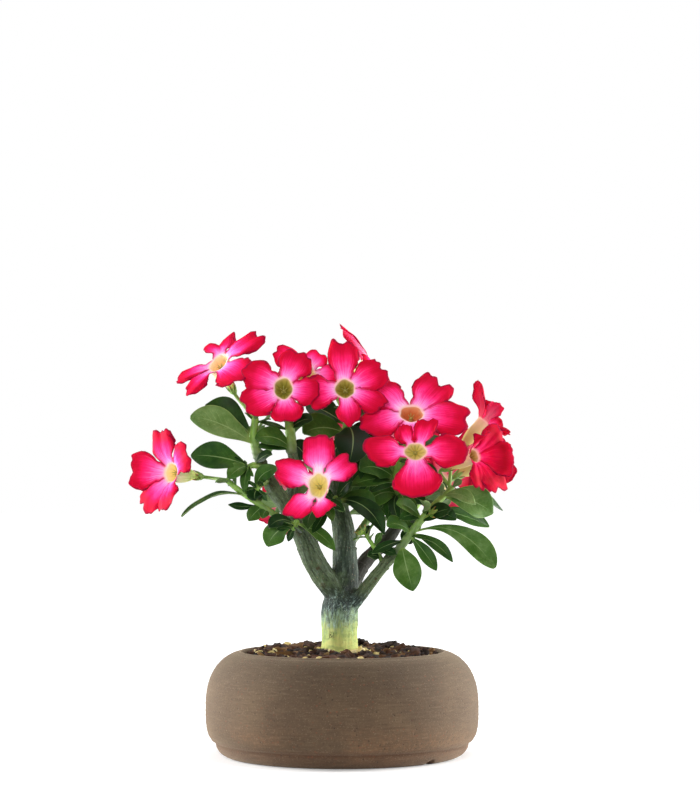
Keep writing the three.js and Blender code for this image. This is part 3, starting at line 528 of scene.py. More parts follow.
def tube(path, radii, sides):
    """A closed tube round a path, with a rounded end at each end, and where each point is on it."""
    directions = unit(np.gradient(path, axis=0))
    starts = path[0] - directions[0] * radii[0] * np.array([[0.5], [0.36]])
    ends = path[-1] + directions[-1] * radii[-1] * np.array([[0.36], [0.5]])
    path = np.concatenate([starts, path, ends])
    radii = np.concatenate([radii[0] * np.array([0.3, 0.75]), radii, radii[-1] * np.array([0.75, 0.3])])
    directions = np.concatenate([directions[[0, 0]], directions, directions[[-1, -1]]])
    turns = np.arange(sides) / sides * 2 * np.pi
    across = np.array([0.31, 0.95, 0.05])
    rings = []
    for centre, radius, direction in zip(path, radii, directions):
        across = unit(across - direction * across.dot(direction))
        other = np.cross(direction, across)
        ring = np.cos(turns)[:, None] * across + np.sin(turns)[:, None] * other
        rings.append(centre + radius * ring)
    points = np.concatenate(rings)
    count = len(points)
    faces = grid_faces(len(path), sides, closed=True)[:, ::-1].tolist()
    faces += [list(range(sides))[::-1], list(range(count - sides, count))]
    grain = [np.outer(radii, turn(turns)).ravel() for turn in (np.cos, np.sin)]
    grain.append(np.repeat(distances(path), sides))
    return points, faces, {"grain": np.stack(grain, 1)}


def merged(parts):
    """Several parts as one. A value that a part lacks is 0 on it."""
    points, faces, values = [], [], {}
    start = 0
    names = {name: np.shape(value)[1:] for part in parts for name, value in part[2].items()}
    for part_points, part_faces, part_values in parts:
        points.append(part_points)
        faces.extend([index + start for index in face] for face in part_faces)
        for name, shape in names.items():
            blank = np.zeros((len(part_points), *shape))
            values.setdefault(name, []).append(part_values.get(name, blank))
        start += len(part_points)
    return np.concatenate(points), faces, {name: np.concatenate(value) for name, value in values.items()}


def hold_values(mesh, values):
    """Keeps the values on the mesh, where its material reads them, and shades it smooth."""
    for key, value in values.items():
        kind, field = ("FLOAT_VECTOR", "vector") if value.ndim == 2 else ("FLOAT", "value")
        layer = mesh.attributes.new(key, kind, "POINT")
        layer.data.foreach_set(field, value.astype(np.float32).ravel())
    mesh.shade_smooth()


def make_mesh(name, part):
    points, faces, values = part
    mesh = bpy.data.meshes.new(name)
    mesh.from_pydata((np.asarray(points) * MM).tolist(), [], faces)
    hold_values(mesh, values)
    return mesh


def add_object(name, data):
    made = bpy.data.objects.new(name, data)
    bpy.context.scene.collection.objects.link(made)
    return made


def add_piece(name, part, material, slot, *nodes):
    """A visible piece of the object, which stands for the CAD nodes named."""
    made = add_object(name, make_mesh(name, part))
    made.data.materials.append(material)
    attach(made, "root")
    if nodes:
        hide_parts(*nodes)
    return made


# Materials

def srgb(red, green, blue):
    """A colour given as 0 to 255 on screen."""
    channels = (red, green, blue)
    return tuple(((c / 255 + 0.055) / 1.055) ** 2.4 if c > 10 else c / 3294.6 for c in channels) + (1,)


class Value:
    """What one output of a node gives. Each sum on it adds a node."""

    def __init__(self, shader, socket):
        self.shader = shader
        self.socket = socket

    def math(self, operation, other=0):
        return self.shader.take("Math", 0, {0: self, 1: other}, operation=operation)

    def __add__(self, other):
        return self.math("ADD", other)

    def __sub__(self, other):
        return self.math("SUBTRACT", other)

    def __mul__(self, other):
        return self.math("MULTIPLY", other)

    def __truediv__(self, other):
        return self.math("DIVIDE", other)

    def __pow__(self, other):
        return self.math("POWER", other)

    def __abs__(self):
        return self.math("ABSOLUTE")

    def fade(self, low, high, first=0, last=1):
        """first below low, last above high, and smooth between."""
        inputs = {"Value": self, "From Min": low, "From Max": high, "To Min": first, "To Max": last}
        return self.shader.take("MapRange", 0, inputs, interpolation_type="SMOOTHSTEP")

    def mix(self, amount, other, blend="MIX"):
        """This colour where amount is 0, and the other where it is 1."""
        return self.shader.blend(amount, self, other, blend)

    def tint(self, amount, *colour):
        return self.mix(amount, srgb(*colour))


class Shader:
    """The nodes of one material, each made by one call that returns what it gives."""

    def __init__(self, name, **settings):
        self.material = bpy.data.materials.new(name)
        self.material.use_nodes = True
        self.tree = self.material.node_tree
        self.surface = self.tree.nodes["Principled BSDF"]
        for key, value in settings.items():
            self.surface.inputs[key.replace("_", " ")].default_value = value

    def feed(self, socket, value):
        if isinstance(value, Value):
            self.tree.links.new(value.socket, socket)
        else:
            socket.default_value = value

    def node(self, kind, inputs, **settings):
        made = self.tree.nodes.new("ShaderNode" + kind)
        for key, value in settings.items():
            setattr(made, key, value)
        for key, value in inputs.items():
            self.feed(made.inputs[key], value)
        return made

    def take(self, kind, output, inputs, **settings):
        return Value(self, self.node(kind, inputs, **settings).outputs[output])

    def value(self, name):
        return self.take("Attribute", "Fac", {}, attribute_name=name)

    def vector(self, name):
        return self.take("Attribute", "Vector", {}, attribute_name=name)

    def place(self):
        """Place in the object's own frame, in millimetres."""
        own = self.take("TexCoord", "Object", {})
        return self.take("VectorMath", 0, {0: own, "Scale": 1 / MM}, operation="SCALE")

    def split(self, vector):
        made = self.node("SeparateXYZ", {0: vector})
        return [Value(self, socket) for socket in made.outputs]

    def stretched(self, vector, stretch):
        if stretch is None:
            return vector
        return self.take("VectorMath", 0, {0: vector, 1: stretch}, operation="MULTIPLY")

    def noise(self, vector, scale, detail, roughness=0.55, stretch=None):
        inputs = {"Vector": self.stretched(vector, stretch), "Scale": scale, "Detail": detail}
        return self.take("TexNoise", "Fac", {**inputs, "Roughness": roughness, "Distortion": 0})

    def cells(self, vector, scale, stretch=None):
        """The distance to the nearest of many points strewn at random."""
        inputs = {"Vector": self.stretched(vector, stretch), "Scale": scale}
        return self.take("TexVoronoi", "Distance", inputs, feature="F1")

    def ramp(self, value, *stops):
        """Colours along a value. A stop is its place, then red, green and blue from 0 to 255."""
        made = self.node("ValToRGB", {0: value})
        elements = made.color_ramp.elements
        for element, (place, *colour) in zip(elements, (stops[0], stops[-1])):
            element.position = place
            element.color = srgb(*colour)
        for place, *colour in stops[1:-1]:
            elements.new(place).color = srgb(*colour)
        return Value(self, made.outputs["Color"])

    def blend(self, amount, colour, other, blend="MIX"):
        inputs = {0: amount, 6: colour, 7: other}
        return self.take("Mix", 2, inputs, data_type="RGBA", blend_type=blend)

    def bump(self, height, strength, distance):
        inputs = {"Height": height, "Strength": strength, "Distance": distance * MM}
        self.feed(self.surface.inputs["Normal"], self.take("Bump", 0, inputs))

    def finish(self, colour, roughness=None):
        self.feed(self.surface.inputs["Base Color"], colour)
        if roughness is not None:
            self.feed(self.surface.inputs["Roughness"], roughness)
        return self.material


def clay_material():
    """Unglazed brown stoneware: fine turning lines, dark grog, pits, a warmer bloom near the foot, and
    painted shade on the shoulder and in the groove.
    """
    s = Shader("clay", Roughness=0.88, Specular_IOR_Level=0.3, Sheen_Weight=0.22, Sheen_Roughness=0.45,
               Sheen_Tint=(1, 0.8, 0.56, 1))
    place = s.place()
    height = s.split(place)[2]
    lines = s.noise(place, 1, 6, 0.68, (0.07, 0.07, 0.8))
    clouds = s.noise(place, 0.022, 4, 0.6)
    grain = s.noise(place, 0.9, 6, 0.8)
    colour = s.ramp(clouds, (0.3, 74, 58, 42), (0.5, 82, 65, 48), (0.72, 94, 76, 56))
    # Painted shade: the pot darkens towards its shoulder and rim, as if in shade there.
    painted_shoulder_shade = height.fade(40, 76, 0, 0.55)
    colour = colour.tint(painted_shoulder_shade, 62, 51, 38)
    warm = height.fade(40, 6) * s.noise(place, 1, 3, stretch=(0.014, 0.014, 0.03)).fade(0.42, 0.62)
    mottle = s.noise(place, 0.35, 4, 0.7).fade(0.4, 0.62, 0.35, 1)
    colour = colour.tint(warm * mottle * 0.75, 116, 84, 58)
    foot = height.fade(16, 10) * 0.6
    colour = colour.tint(foot, 88, 64, 48)
    # Painted shade: a darker reddish line along the groove above the foot, where shade falls.
    groove = abs(height - GROOVE_HEIGHT).fade(3.2, 0.4, 0, 0.6)
    colour = colour.tint(groove, 70, 44, 27)
    colour = colour.tint(lines.fade(0.5, 0.66, 0, 0.42), 62, 46, 34)
    colour = colour.tint(lines.fade(0.46, 0.32, 0, 0.2), 128, 110, 88)
    colour = colour.tint(grain.fade(0.54, 0.68, 0, 0.4), 146, 128, 104)
    colour = colour.tint(grain.fade(0.46, 0.34, 0, 0.45), 58, 45, 33)
    grog = s.cells(place, 0.3).fade(0.24, 0.1) * s.noise(place, 0.25, 2).fade(0.46, 0.56)
    colour = colour.tint(grog * 0.75, 44, 32, 25)
    few = s.noise(place, 1, 3, 0.6, (0.05, 0.05, 0.2)).fade(0.44, 0.6, 0.1, 1)
    rust = s.cells(place, 0.22, (1, 1, 1.4)).fade(0.26, 0.08) * 0.55 * few
    colour = colour.tint(rust, 112, 62, 42)
    pale = s.cells(place, 0.4, (1.3, 1.3, 1)).fade(0.22, 0.06) * 0.24
    colour = colour.tint(pale, 156, 136, 112)
    s.bump(lines * 0.4 + grain * 0.8 - grog * 1.2, 0.5, 0.5)
    return s.finish(colour, grain.fade(0.2, 0.8, 0.8, 0.95))


def wood_material():
    """Living bark: yellow-green at the foot, grey-green with fine streaks above, brown spots and scars."""
    s = Shader("bark", Specular_IOR_Level=0.25)
    place = s.place()
    grain = s.vector("grain")
    height = s.split(place)[2]
    streaks = s.noise(grain, 1, 5, 0.7, (0.6, 0.6, 0.07))
    fine = s.noise(grain, 1, 5, 0.75, (1.1, 1.1, 0.24))
    mottle = s.noise(place, 0.55, 5, 0.75)
    bands = s.noise(place, 1, 4, 0.6, (0.12, 0.12, 0.26))
    clouds = s.noise(place, 0.07, 3, 0.6)
    runs = s.noise(place, 1, 4, 0.65, (0.4, 0.4, 0.05))
    level = height + (clouds - 0.5) * 24 + (runs - 0.5) * 34
    share = s.take("MapRange", 0, {"Value": level, "From Min": 70, "From Max": 190})
    colour = s.ramp(
        share, (0, 208, 208, 130), (0.1, 192, 198, 112), (0.2, 164, 182, 106), (0.28, 128, 152, 118),
        (0.34, 48, 62, 58), (0.44, 17, 24, 22), (0.66, 50, 66, 50), (1, 60, 76, 46),
    )
    green = s.noise(place, 0.045, 3, 0.6).fade(0.45, 0.65, 0, 0.6) * height.fade(112, 130)
    colour = colour.tint(green, 92, 112, 72)
    colour = colour.tint(s.value("young"), 92, 106, 70)
    foot = height.fade(104, 92)
    bark = level.fade(88, 106, 0.12, 1)
    marks = [
        (bands, 0.5, 0.62, 0.4, foot, (196, 188, 116)),
        (bands, 0.5, 0.38, 0.45, foot, (116, 140, 82)),
        (streaks, 0.5, 0.64, 0.7, bark, (26, 32, 26)),
        (streaks, 0.45, 0.32, 0.36, bark, (128, 146, 132)),
        (fine, 0.5, 0.66, 0.6, bark, (26, 34, 28)),
        (fine, 0.44, 0.32, 0.42, bark, (130, 150, 138)),
        (mottle, 0.52, 0.68, 0.5, bark, (30, 36, 28)),
    ]
    for pattern, start, full, strength, where, tint in marks:
        colour = colour.tint(pattern.fade(start, full, 0, strength) * where, *tint)
    colour = colour.tint(mottle.fade(0.42, 0.3, 0, 0.3), 132, 144, 112)
    turning = level.fade(90, 102) * level.fade(124, 108) * fine.fade(0.5, 0.36, 0, 0.75)
    colour = colour.tint(turning, 158, 184, 172)
    spots = s.cells(grain, 1, (0.5, 0.5, 0.35)).fade(0.24, 0.1) * s.noise(place, 0.13, 2).fade(0.46, 0.58)
    colour = colour.tint(spots * 0.5, 138, 128, 94)
    scars = s.value("scar").fade(0.06, 0.5) * mottle.fade(0.56, 0.44, 0, 0.9)
    colour = colour.tint(scars, 58, 46, 24)
    # Dark brown bark; on right_rear it is also painted shade.
    colour = colour.tint(s.value("brown") * 0.9, 30, 25, 17)
    s.bump(streaks * 0.7 + fine * 0.7 - mottle * 0.6 + spots * 0.5, 1, 1.2)
    return s.finish(colour, streaks.fade(0.3, 0.7, 0.62, 0.82))


def leaf_material():
    """Waxy leaves: deep green above with a pale midrib and faint side veins, paler and duller below."""
    s = Shader("leaf", Specular_IOR_Level=0.1, Coat_Weight=0.01, Coat_Roughness=0.3)
    u, v, tone = s.split(s.vector("blade"))
    top = s.value("topside")
    aside = abs(v)
    place = s.place()
    fine = s.noise(place, 0.9, 4, 0.65)
    # Each leaf's tone is partly its own green and partly painted light: dark tones paint shade deep in the
    # crown, and the pale grey top stop paints a sheen.
    shade = s.noise(place, 0.09, 3, 0.6) * 0.5 + tone * 0.75
    above = s.ramp(shade, (0.2, 8, 30, 8), (0.45, 30, 62, 20), (0.7, 58, 92, 32), (0.95, 106, 134, 78))
    below = s.ramp(shade, (0.2, 70, 98, 56), (0.9, 118, 142, 88))
    colour = below.mix(top, above)
    lighter = colour.mix(1, (2.6, 2.1, 2.4, 1), "MULTIPLY")
    wave = abs((u * 11 - aside * 2.6).math("FRACT") - 0.5)
    vein = wave.fade(0.1, 0) * aside.fade(1, 0.2)
    colour = colour.mix(vein * 0.25, lighter)
    rib_width = u.fade(0, 1, 0.09, 0.015)
    rib = (aside / rib_width).fade(1.2, 0.35) * u.fade(1, 0.75)
    colour = colour.tint(rib * 0.62, 134, 160, 104)
    colour = colour.tint(u.fade(0.2, 0.04), 124, 150, 72)
    colour = colour.mix(aside.fade(0.93, 1, 0, 0.6), lighter)
    colour = colour.mix(fine.fade(0.52, 0.75, 0, 0.35), lighter)
    s.bump(fine * 0.22 - vein * 0.45, 0.4, 0.25)
    return s.finish(colour, s.blend(top, (0.6, 0.6, 0.6, 1), (0.42, 0.42, 0.42, 1)))


def throat_colour(s, u, v, depth, top, clouds):
    """Throats: olive to peach and striped inside, with painted shade deeper in the tube and in dim throats;
    pale green to cream behind, paler where depth is small.
    """
    warmth = s.value("warmth")
    inward = u + 1
    shaded_olive = s.ramp(
        inward, (0, 112, 112, 36), (0.4, 136, 130, 48), (0.7, 170, 158, 74), (0.92, 204, 172, 118),
        (1, 240, 196, 184),
    )
    pale_olive = s.ramp(
        inward, (0, 216, 202, 96), (0.4, 230, 220, 120), (0.7, 240, 226, 146), (0.92, 246, 220, 172),
        (1, 248, 220, 200),
    )
    shaded_peach = s.ramp(
        inward, (0, 180, 92, 50), (0.5, 208, 116, 68), (0.92, 230, 160, 116), (1, 248, 208, 200),
    )
    pale_peach = s.ramp(
        inward, (0, 226, 160, 100), (0.5, 246, 186, 124), (0.92, 252, 216, 172), (1, 250, 226, 214),
    )
    # Painted shade: dim throats take the darker olive and peach, which darken deeper in the tube.
    olive = pale_olive.mix(depth.fade(0.5, 0.6), shaded_olive)
    peach = pale_peach.mix(depth.fade(0.35, 0.5), shaded_peach)
    inside = olive.mix(warmth, peach)
    stripes = (v * 7 + clouds * 4).math("SINE").fade(0.2, 1)
    stripes = stripes * u.fade(-0.12, -0.4) * depth.fade(0.3, 0.65, 0.1, 0.42)
    inside = inside.mix(stripes, s.blend(warmth, srgb(78, 78, 22), srgb(190, 92, 60)))
    behind = s.ramp(
        inward, (0, 196, 210, 104), (0.45, 228, 236, 150), (0.85, 244, 232, 184), (1, 240, 204, 186),
    )
    behind = behind.tint(depth.fade(0.7, 0.9, 0, 0.55), 206, 140, 104)
    return behind.mix(top, inside)


def petal_material():
    """Petals: nearly white at the throat, hot pink, then crimson with a dark thin edge, paler behind."""
    s = Shader("petal", Roughness=0.66, Specular_IOR_Level=0.05, Subsurface_Weight=0.3,
               Subsurface_Radius=(1, 0.45, 0.45), Subsurface_Scale=1 * MM)
    u, v, depth = s.split(s.vector("blade"))
    top = s.value("topside")
    margin = s.value("margin")
    along_petal = s.take("CombineXYZ", 0, {0: u * 1.4, 1: v * 19, 2: depth * 37})
    fibres = s.noise(along_petal, 1, 5, 0.7)
    clouds = s.noise(s.place(), 0.12, 3, 0.6)
    uneven_fibres = fibres - 0.5
    reach = u + abs(v) ** 3 * 0.36 + uneven_fibres * 0.4 + (clouds - 0.5) * 0.3 + (depth - 0.5) * 0.35
    pink = s.ramp(
        reach, (0, 250, 208, 228), (0.1, 250, 168, 216), (0.24, 251, 124, 200), (0.38, 251, 92, 174),
        (0.52, 248, 58, 140), (0.66, 236, 28, 102), (0.82, 212, 14, 68), (1, 170, 4, 40),
    )
    red = s.ramp(
        reach, (0, 244, 184, 208), (0.18, 240, 104, 160), (0.36, 232, 26, 100), (0.58, 208, 2, 54),
        (1, 138, 0, 18),
    )
    inside = pink.mix(depth.fade(0.75, 1), red)
    crimson = (margin + uneven_fibres * 0.25).fade(0.52, 0.96) * depth.fade(0, 0.55, 0.4, 0.85)
    inside = inside.tint(crimson, 184, 2, 42)
    inside = inside.tint(margin.fade(0.91, 0.98, 0, 0.8), 112, 8, 44)
    behind = s.ramp(reach, (0, 242, 190, 186), (0.3, 236, 128, 160), (0.7, 224, 74, 120), (1, 200, 38, 80))
    behind = behind.tint(depth.fade(0.7, 1, 0, 0.85), 186, 8, 46)
    behind = behind.tint(margin.fade(0.86, 0.96, 0, 0.6), 146, 20, 56)
    colour = behind.mix(top, inside)
    veins = fibres.fade(0.54, 0.66) * u.fade(0, 0.25)
    colour = colour.tint(veins * 0.34, 176, 2, 60)
    pale_veins = fibres.fade(0.46, 0.34) * u.fade(0.75, 0.1) * depth.fade(0.75, 0.95, 0.35, 0.08)
    colour = colour.tint(pale_veins, 252, 196, 226)
    line = abs((v * 3.5 + clouds * 0.9).math("FRACT") - 0.5).fade(0.09, 0)
    line = line * (u.fade(0.02, 0.12) * u.fade(0.8, 0.35))
    colour = colour.tint(line * 0.4, 150, 0, 58)
    rim = (u + uneven_fibres * 0.16).fade(0.09, 0, 0, 0.8)
    colour = colour.tint(rim, 246, 208, 190)
    mouth = (u + uneven_fibres * 0.1).fade(0.04, -0.03)
    colour = colour.mix(mouth, throat_colour(s, u, v, depth, top, clouds))
    s.bump(fibres * 0.9 + clouds * 0.3, 0.4, 0.4)
    return s.finish(colour)


def green_material():
    """Young stems, stalks and calyces: yellow-green, browner with age, red at the calyx tips."""
    s = Shader("young_stem", Roughness=0.5)
    place = s.place()
    streaks = s.noise(s.vector("grain"), 1, 4, 0.6, (0.8, 0.8, 0.1))
    colour = s.ramp(s.noise(place, 0.15, 3), (0.3, 90, 130, 46), (0.55, 116, 156, 60), (0.75, 146, 178, 84))
    colour = colour.tint(s.value("age"), 66, 76, 52)
    colour = colour.tint(streaks.fade(0.52, 0.7, 0, 0.5), 72, 84, 52)
    colour = colour.tint(s.value("red"), 178, 44, 52)
    s.bump(streaks + s.noise(place, 0.8, 3) * 0.5, 0.5, 0.3)
    return s.finish(colour)


def anther_material():
    s = Shader("anthers", Roughness=0.6)
    along = s.split(s.vector("grain"))[2]
    fuzz = s.noise(s.place(), 2.2, 3)
    colour = s.ramp(along.fade(0, 8), (0, 140, 134, 56), (1, 196, 184, 108))
    colour = colour.tint(fuzz.fade(0.5, 0.7, 0, 0.5), 158, 132, 62)
    s.bump(fuzz, 0.5, 0.2)
    return s.finish(colour)


def chip_material():
    """Bark chips and coconut fibre, in browns that differ from chip to chip, with a fibrous grain."""
    s = Shader("bark_chips", Roughness=0.92)
    fibre = s.noise(s.vector("grain"), 1, 5, 0.7, (0.35, 1.8, 1.8))
    colour = s.ramp(
        s.value("tone"), (0, 16, 8, 3), (0.3, 34, 17, 6), (0.55, 58, 31, 12), (0.75, 76, 43, 16),
        (0.88, 108, 76, 34), (1, 186, 166, 112),
    )
    colour = colour.tint(fibre.fade(0.5, 0.7, 0, 0.6), 36, 19, 9)
    colour = colour.tint(fibre.fade(0.42, 0.25, 0, 0.25), 96, 64, 36)
    s.bump(fibre, 0.8, 0.6)
    return s.finish(colour)


def gravel_material():
    s = Shader("gravel", Roughness=0.75)
    place = s.place()
    colour = s.ramp(s.value("tone"), (0, 166, 142, 82), (0.5, 202, 182, 116), (1, 226, 214, 166))
    colour = colour.tint(s.noise(place, 0.5, 4, 0.65).fade(0.5, 0.7, 0, 0.5), 136, 108, 62)
    s.bump(s.noise(place, 1.2, 4, 0.7), 0.6, 0.4)
    return s.finish(colour)


def humus_material():
    s = Shader("humus", Roughness=0.97)
    crumbs = s.noise(s.place(), 0.6, 6, 0.75)
    s.bump(crumbs, 1, 1.5)
    return s.finish(s.ramp(crumbs, (0.3, 26, 14, 7), (0.55, 62, 35, 17), (0.8, 106, 66, 36)))


# Pot

def super_ellipse(x, power):
    """Height over x of a rounded corner from (0, 1) to (1, 0): a quarter circle where power is 2."""
    return (1 - np.clip(x, 0, 1) ** power) ** (1 / power)


def belly_radius(z):
    """The pot's outer radius at a height."""
    x = abs(z - POT_WIDEST_HEIGHT)
    if z > POT_WIDEST_HEIGHT:
        return lerp(SHOULDER_RADIUS, POT_RADIUS, super_ellipse(x / SHOULDER_RISE, SHOULDER_POWER))
    return lerp(BELLY_FOOT_RADIUS, POT_RADIUS, super_ellipse(x / BELLY_FOOT_DEPTH, BELLY_FOOT_POWER))


def cavity_radius(z):
    """The pot's inner radius at a height."""
    if z > POT_WIDEST_HEIGHT:
        x = (z - POT_WIDEST_HEIGHT) / (LIP_CENTRE_HEIGHT - POT_WIDEST_HEIGHT)
        return lerp(MOUTH_RADIUS, INNER_RADIUS, super_ellipse(x, 2))
    x = (POT_WIDEST_HEIGHT - z) / (POT_WIDEST_HEIGHT - FLOOR_THICKNESS)
    return lerp(FLOOR_RADIUS, INNER_RADIUS, super_ellipse(x, 2))


def lathe(outline, segments):
    """A solid of revolution from rows of radius and height that run from the axis round to the axis."""
    outline = np.array(outline, float)
    body = outline[1:-1]
    turns = np.arange(segments) / segments * 2 * np.pi
    ring = np.stack([np.cos(turns), np.sin(turns), np.zeros(segments)], 1)
    points = (body[:, None, :1] * ring[None]).reshape(-1, 3)
    points[:, 2] = np.repeat(body[:, 1], segments)
    faces = grid_faces(len(body), segments, closed=True)[:, ::-1].tolist()
    count = len(points)
    for i in range(segments):
        j = (i + 1) % segments
        faces.append([count, j, i])
        faces.append([count + 1, count - segments + i, count - segments + j])
    ends = [[0, 0, outline[0, 1]], [0, 0, outline[-1, 1]]]
    return np.concatenate([points, ends]), faces


def pot_outline():
    """Radii and heights: base, foot, groove, belly, lip, inside and floor, from the axis to the axis."""
    outline = [(0, 0)] + [(r, 0) for r in np.linspace(8, BASE_RADIUS - 4, 10)]
    for turn in np.linspace(0, np.pi / 2, 12):
        radius = lerp(BASE_RADIUS, FOOT_RADIUS, math.sin(turn))
        outline.append((radius, FOOT_HEIGHT * (1 - math.cos(turn))))
    for z in np.linspace(FOOT_HEIGHT + 0.3, BELLY_START, 5)[:-1]:
        share = smoothstep(z, FOOT_HEIGHT, BELLY_START)
        outline.append((lerp(GROOVE_RADIUS, belly_radius(BELLY_START), share), z))
    outline += [(belly_radius(z), z) for z in np.linspace(BELLY_START, BELLY_TOP, 68)]
    for turn in np.radians(np.linspace(50, 186, 16)):
        radius = LIP_CENTRE_RADIUS + LIP_RADIUS * math.cos(turn)
        outline.append((radius, LIP_CENTRE_HEIGHT + LIP_RADIUS * math.sin(turn)))
    outline += [(cavity_radius(z), z) for z in np.linspace(CAVITY_TOP, FLOOR_THICKNESS, 22)]
    return outline + [(r, FLOOR_THICKNESS) for r in (60, 48, 36, 24, 12, 0)]


def turned(points):
    """Shallow turning lines and slight unevenness, as on a hand-thrown bowl."""
    r = np.hypot(points[:, 0], points[:, 1])
    z = points[:, 2]
    angle = np.arctan2(points[:, 1], points[:, 0])
    outside = smoothstep(z, 1.5, 4) * smoothstep(r, 72, 78)
    lines = 0.09 * np.sin(2.1 * z + 0.6 * np.sin(angle))
    lines = lines + 0.06 * np.sin(5.3 * z + 1.1 * np.sin(angle + 2) + 0.4)
    sway = 0.22 * np.sin(2 * angle + 0.05 * z + 1) * np.sin(0.07 * z) + 0.12 * np.sin(3 * angle - 0.04 * z)
    scale = 1 + outside * (lines + sway - 0.2) / np.maximum(r, 1)
    return points * np.stack([scale, scale, np.ones_like(scale)], 1)


def block_faces(count):
    """The faces of a closed block between two rings of count points each."""
    sides = [[i, (i + 1) % count, (i + 1) % count + count, i + count] for i in range(count)]
    return sides + [list(range(count))[::-1], list(range(count, 2 * count))]


def drain_cutters():
    """An arched groove across the base and a hole through the floor, at each drain."""
    half = DRAIN_GROOVE_WIDTH / 2
    arch = [(-half * math.cos(t), DRAIN_GROOVE_DEPTH * math.sin(t)) for t in np.linspace(0, np.pi, 15)]
    arch = [(-half, -1), *arch, (half, -1)]
    groove = [(x, y, z) for x in (DRAIN_GROOVE_START, POT_RADIUS) for y, z in arch]
    groove_faces = [face[::-1] for face in block_faces(len(arch))]
    circle = np.linspace(0, 2 * np.pi, DRAIN_HOLE_SIDES, endpoint=False)
    hole = [
        (DRAIN_HOLE_PLACE + DRAIN_HOLE_RADIUS * math.cos(t), DRAIN_HOLE_RADIUS * math.sin(t), z)
        for z in (-1, FLOOR_THICKNESS + 1) for t in circle
    ]
    for turn in DRAIN_ANGLES:
        for points, faces in ((groove, groove_faces), (hole, block_faces(DRAIN_HOLE_SIDES))):
            made = add_object("cutter", make_mesh("cutter", (points, faces, {})))
            made.data.transform(Matrix.Rotation(math.radians(turn), 4, "Z"))
            yield made


def apply_modifiers(made):
    """Puts what an object's modifiers make of its mesh in the mesh's place."""
    graph = bpy.context.evaluated_depsgraph_get()
    mesh = bpy.data.meshes.new_from_object(made.evaluated_get(graph))
    old = made.data
    made.modifiers.clear()
    made.data = mesh
    bpy.data.meshes.remove(old)


def make_pot(material):
    """The bowl, with its drain holes and grooves cut out."""
    points, faces = lathe(pot_outline(), POT_SEGMENTS)
    pot = add_piece("pot_bowl", (turned(points), faces, {}), material, "clay", "pot")
    cutters = list(drain_cutters())
    for tool in cutters:
        cut = pot.modifiers.new("drain", "BOOLEAN")
        cut.operation = "DIFFERENCE"
        cut.solver = "MANIFOLD"
        cut.object = tool
    apply_modifiers(pot)
    for tool in cutters:
        bpy.data.objects.remove(tool)


# Wood

LIMB_SPACING = 1.5
LIMB_SIDES = 24
WOOD_VOXEL = 0.92
WOOD_SOFTENING = 9
# A limb that starts above this height takes on its own look between these distances from its start.
FORK_HEIGHT = 100
OWN_LOOK = (12, 32)
NEAR_POINTS = 10
# How young and how brown the bark is (0 to 1), where it isn't plain; on right_rear the full brown is also
# painted shade on that limb behind the crown
LIMB_LOOKS = {
    "left": (0.35, 0), "right": (0.75, 0), "right_rear": (0.1, 1), "riser": (0.5, 0), "rear": (0.3, 0.3),
}
# Scars where old shoots stood: place on the bark, width along the limb and height of the ring
SCAR_RINGS = [
    ((-50, -8, 197), 0.9, 0.6), ((-27, -10, 157), 0.7, 0.3), ((1, 6, 154), 0.8, 0.9),
    ((31, -12, 141), 0.9, 0.5), ((-38, 1, 215), 0.8, 0.4), ((-2, 10, 190), 0.9, 0.4),
    ((14, 22, 138), 0.8, 0.4), ((2, 36, 140), 0.8, 0.4), ((-61, -3, 218), 0.8, 0.35),
]
# Knots: place, radius and height
KNOTS = [
    ((-8, -12.5, 90), 3, 1.2), ((12, -9, 106), 2.8, -0.6), ((-14, -12, 127), 2.6, 0.8),
    ((-32, -18, 166), 3, 0.6), ((9, -6, 141), 3, 0.6), ((-18, -14, 140), 2.4, 0.5),
    ((-6, -2, 162), 2.8, 0.5), ((24, -14, 131), 2.6, 0.5), ((-52, -13, 199), 2.8, 0.6),
]


def limb_lines():
    """The limbs' centrelines: points and radii, distances along, and how young and brown each is."""
    for name, rows in LIMBS.items():
        path, radii = centreline(rows, LIMB_SPACING)
        yield path, radii, distances(path), np.tile(LIMB_LOOKS.get(name, (0, 0)), (len(path), 1))


def blended_limbs(paths, radii, material):
    """The limbs' tubes blended into one body."""
    parts = [tube(*line, LIMB_SIDES)[:2] + ({},) for line in zip(paths, radii)]
    wood = add_piece("wood", merged(parts), material, "bark", "trunk_and_limbs")
    remesh = wood.modifiers.new("blend", "REMESH")
    remesh.mode = "VOXEL"
    remesh.voxel_size = WOOD_VOXEL * MM
    smooth = wood.modifiers.new("soften", "SMOOTH")
    smooth.factor = 0.5
    smooth.iterations = WOOD_SOFTENING
    apply_modifiers(wood)
    return wood.data


def bark_marks(points, lift, tree, centres, radii, directions):
    """Adds scar rings and knots to lift, and gives how scarred the bark is at each point."""
    scar = np.zeros(len(points))
    for place, width, height in SCAR_RINGS:
        _, index, _ = tree.find(place)
        rise = (points - centres[index]) @ directions[index]
        apart = np.linalg.norm(points - centres[index], axis=1)
        near = smoothstep(apart, 1.7 * radii[index], 1.35 * radii[index])
        ring = np.exp(-(rise / width) ** 2) * near
        lift += height * (ring - 0.8 * np.exp(-((rise - 1.8 * width) / (0.8 * width)) ** 2) * near)
        scar = np.maximum(scar, 0.25 * ring)
    for place, radius, height in KNOTS:
        apart = np.linalg.norm(points - place, axis=1)
        lift += height * np.exp(-(apart / radius) ** 2)
        lift -= 0.7 * height * np.exp(-(apart / (0.4 * radius)) ** 2)
        scar = np.maximum(scar, 0.9 * np.exp(-(apart / (0.8 * radius)) ** 2))
    return scar


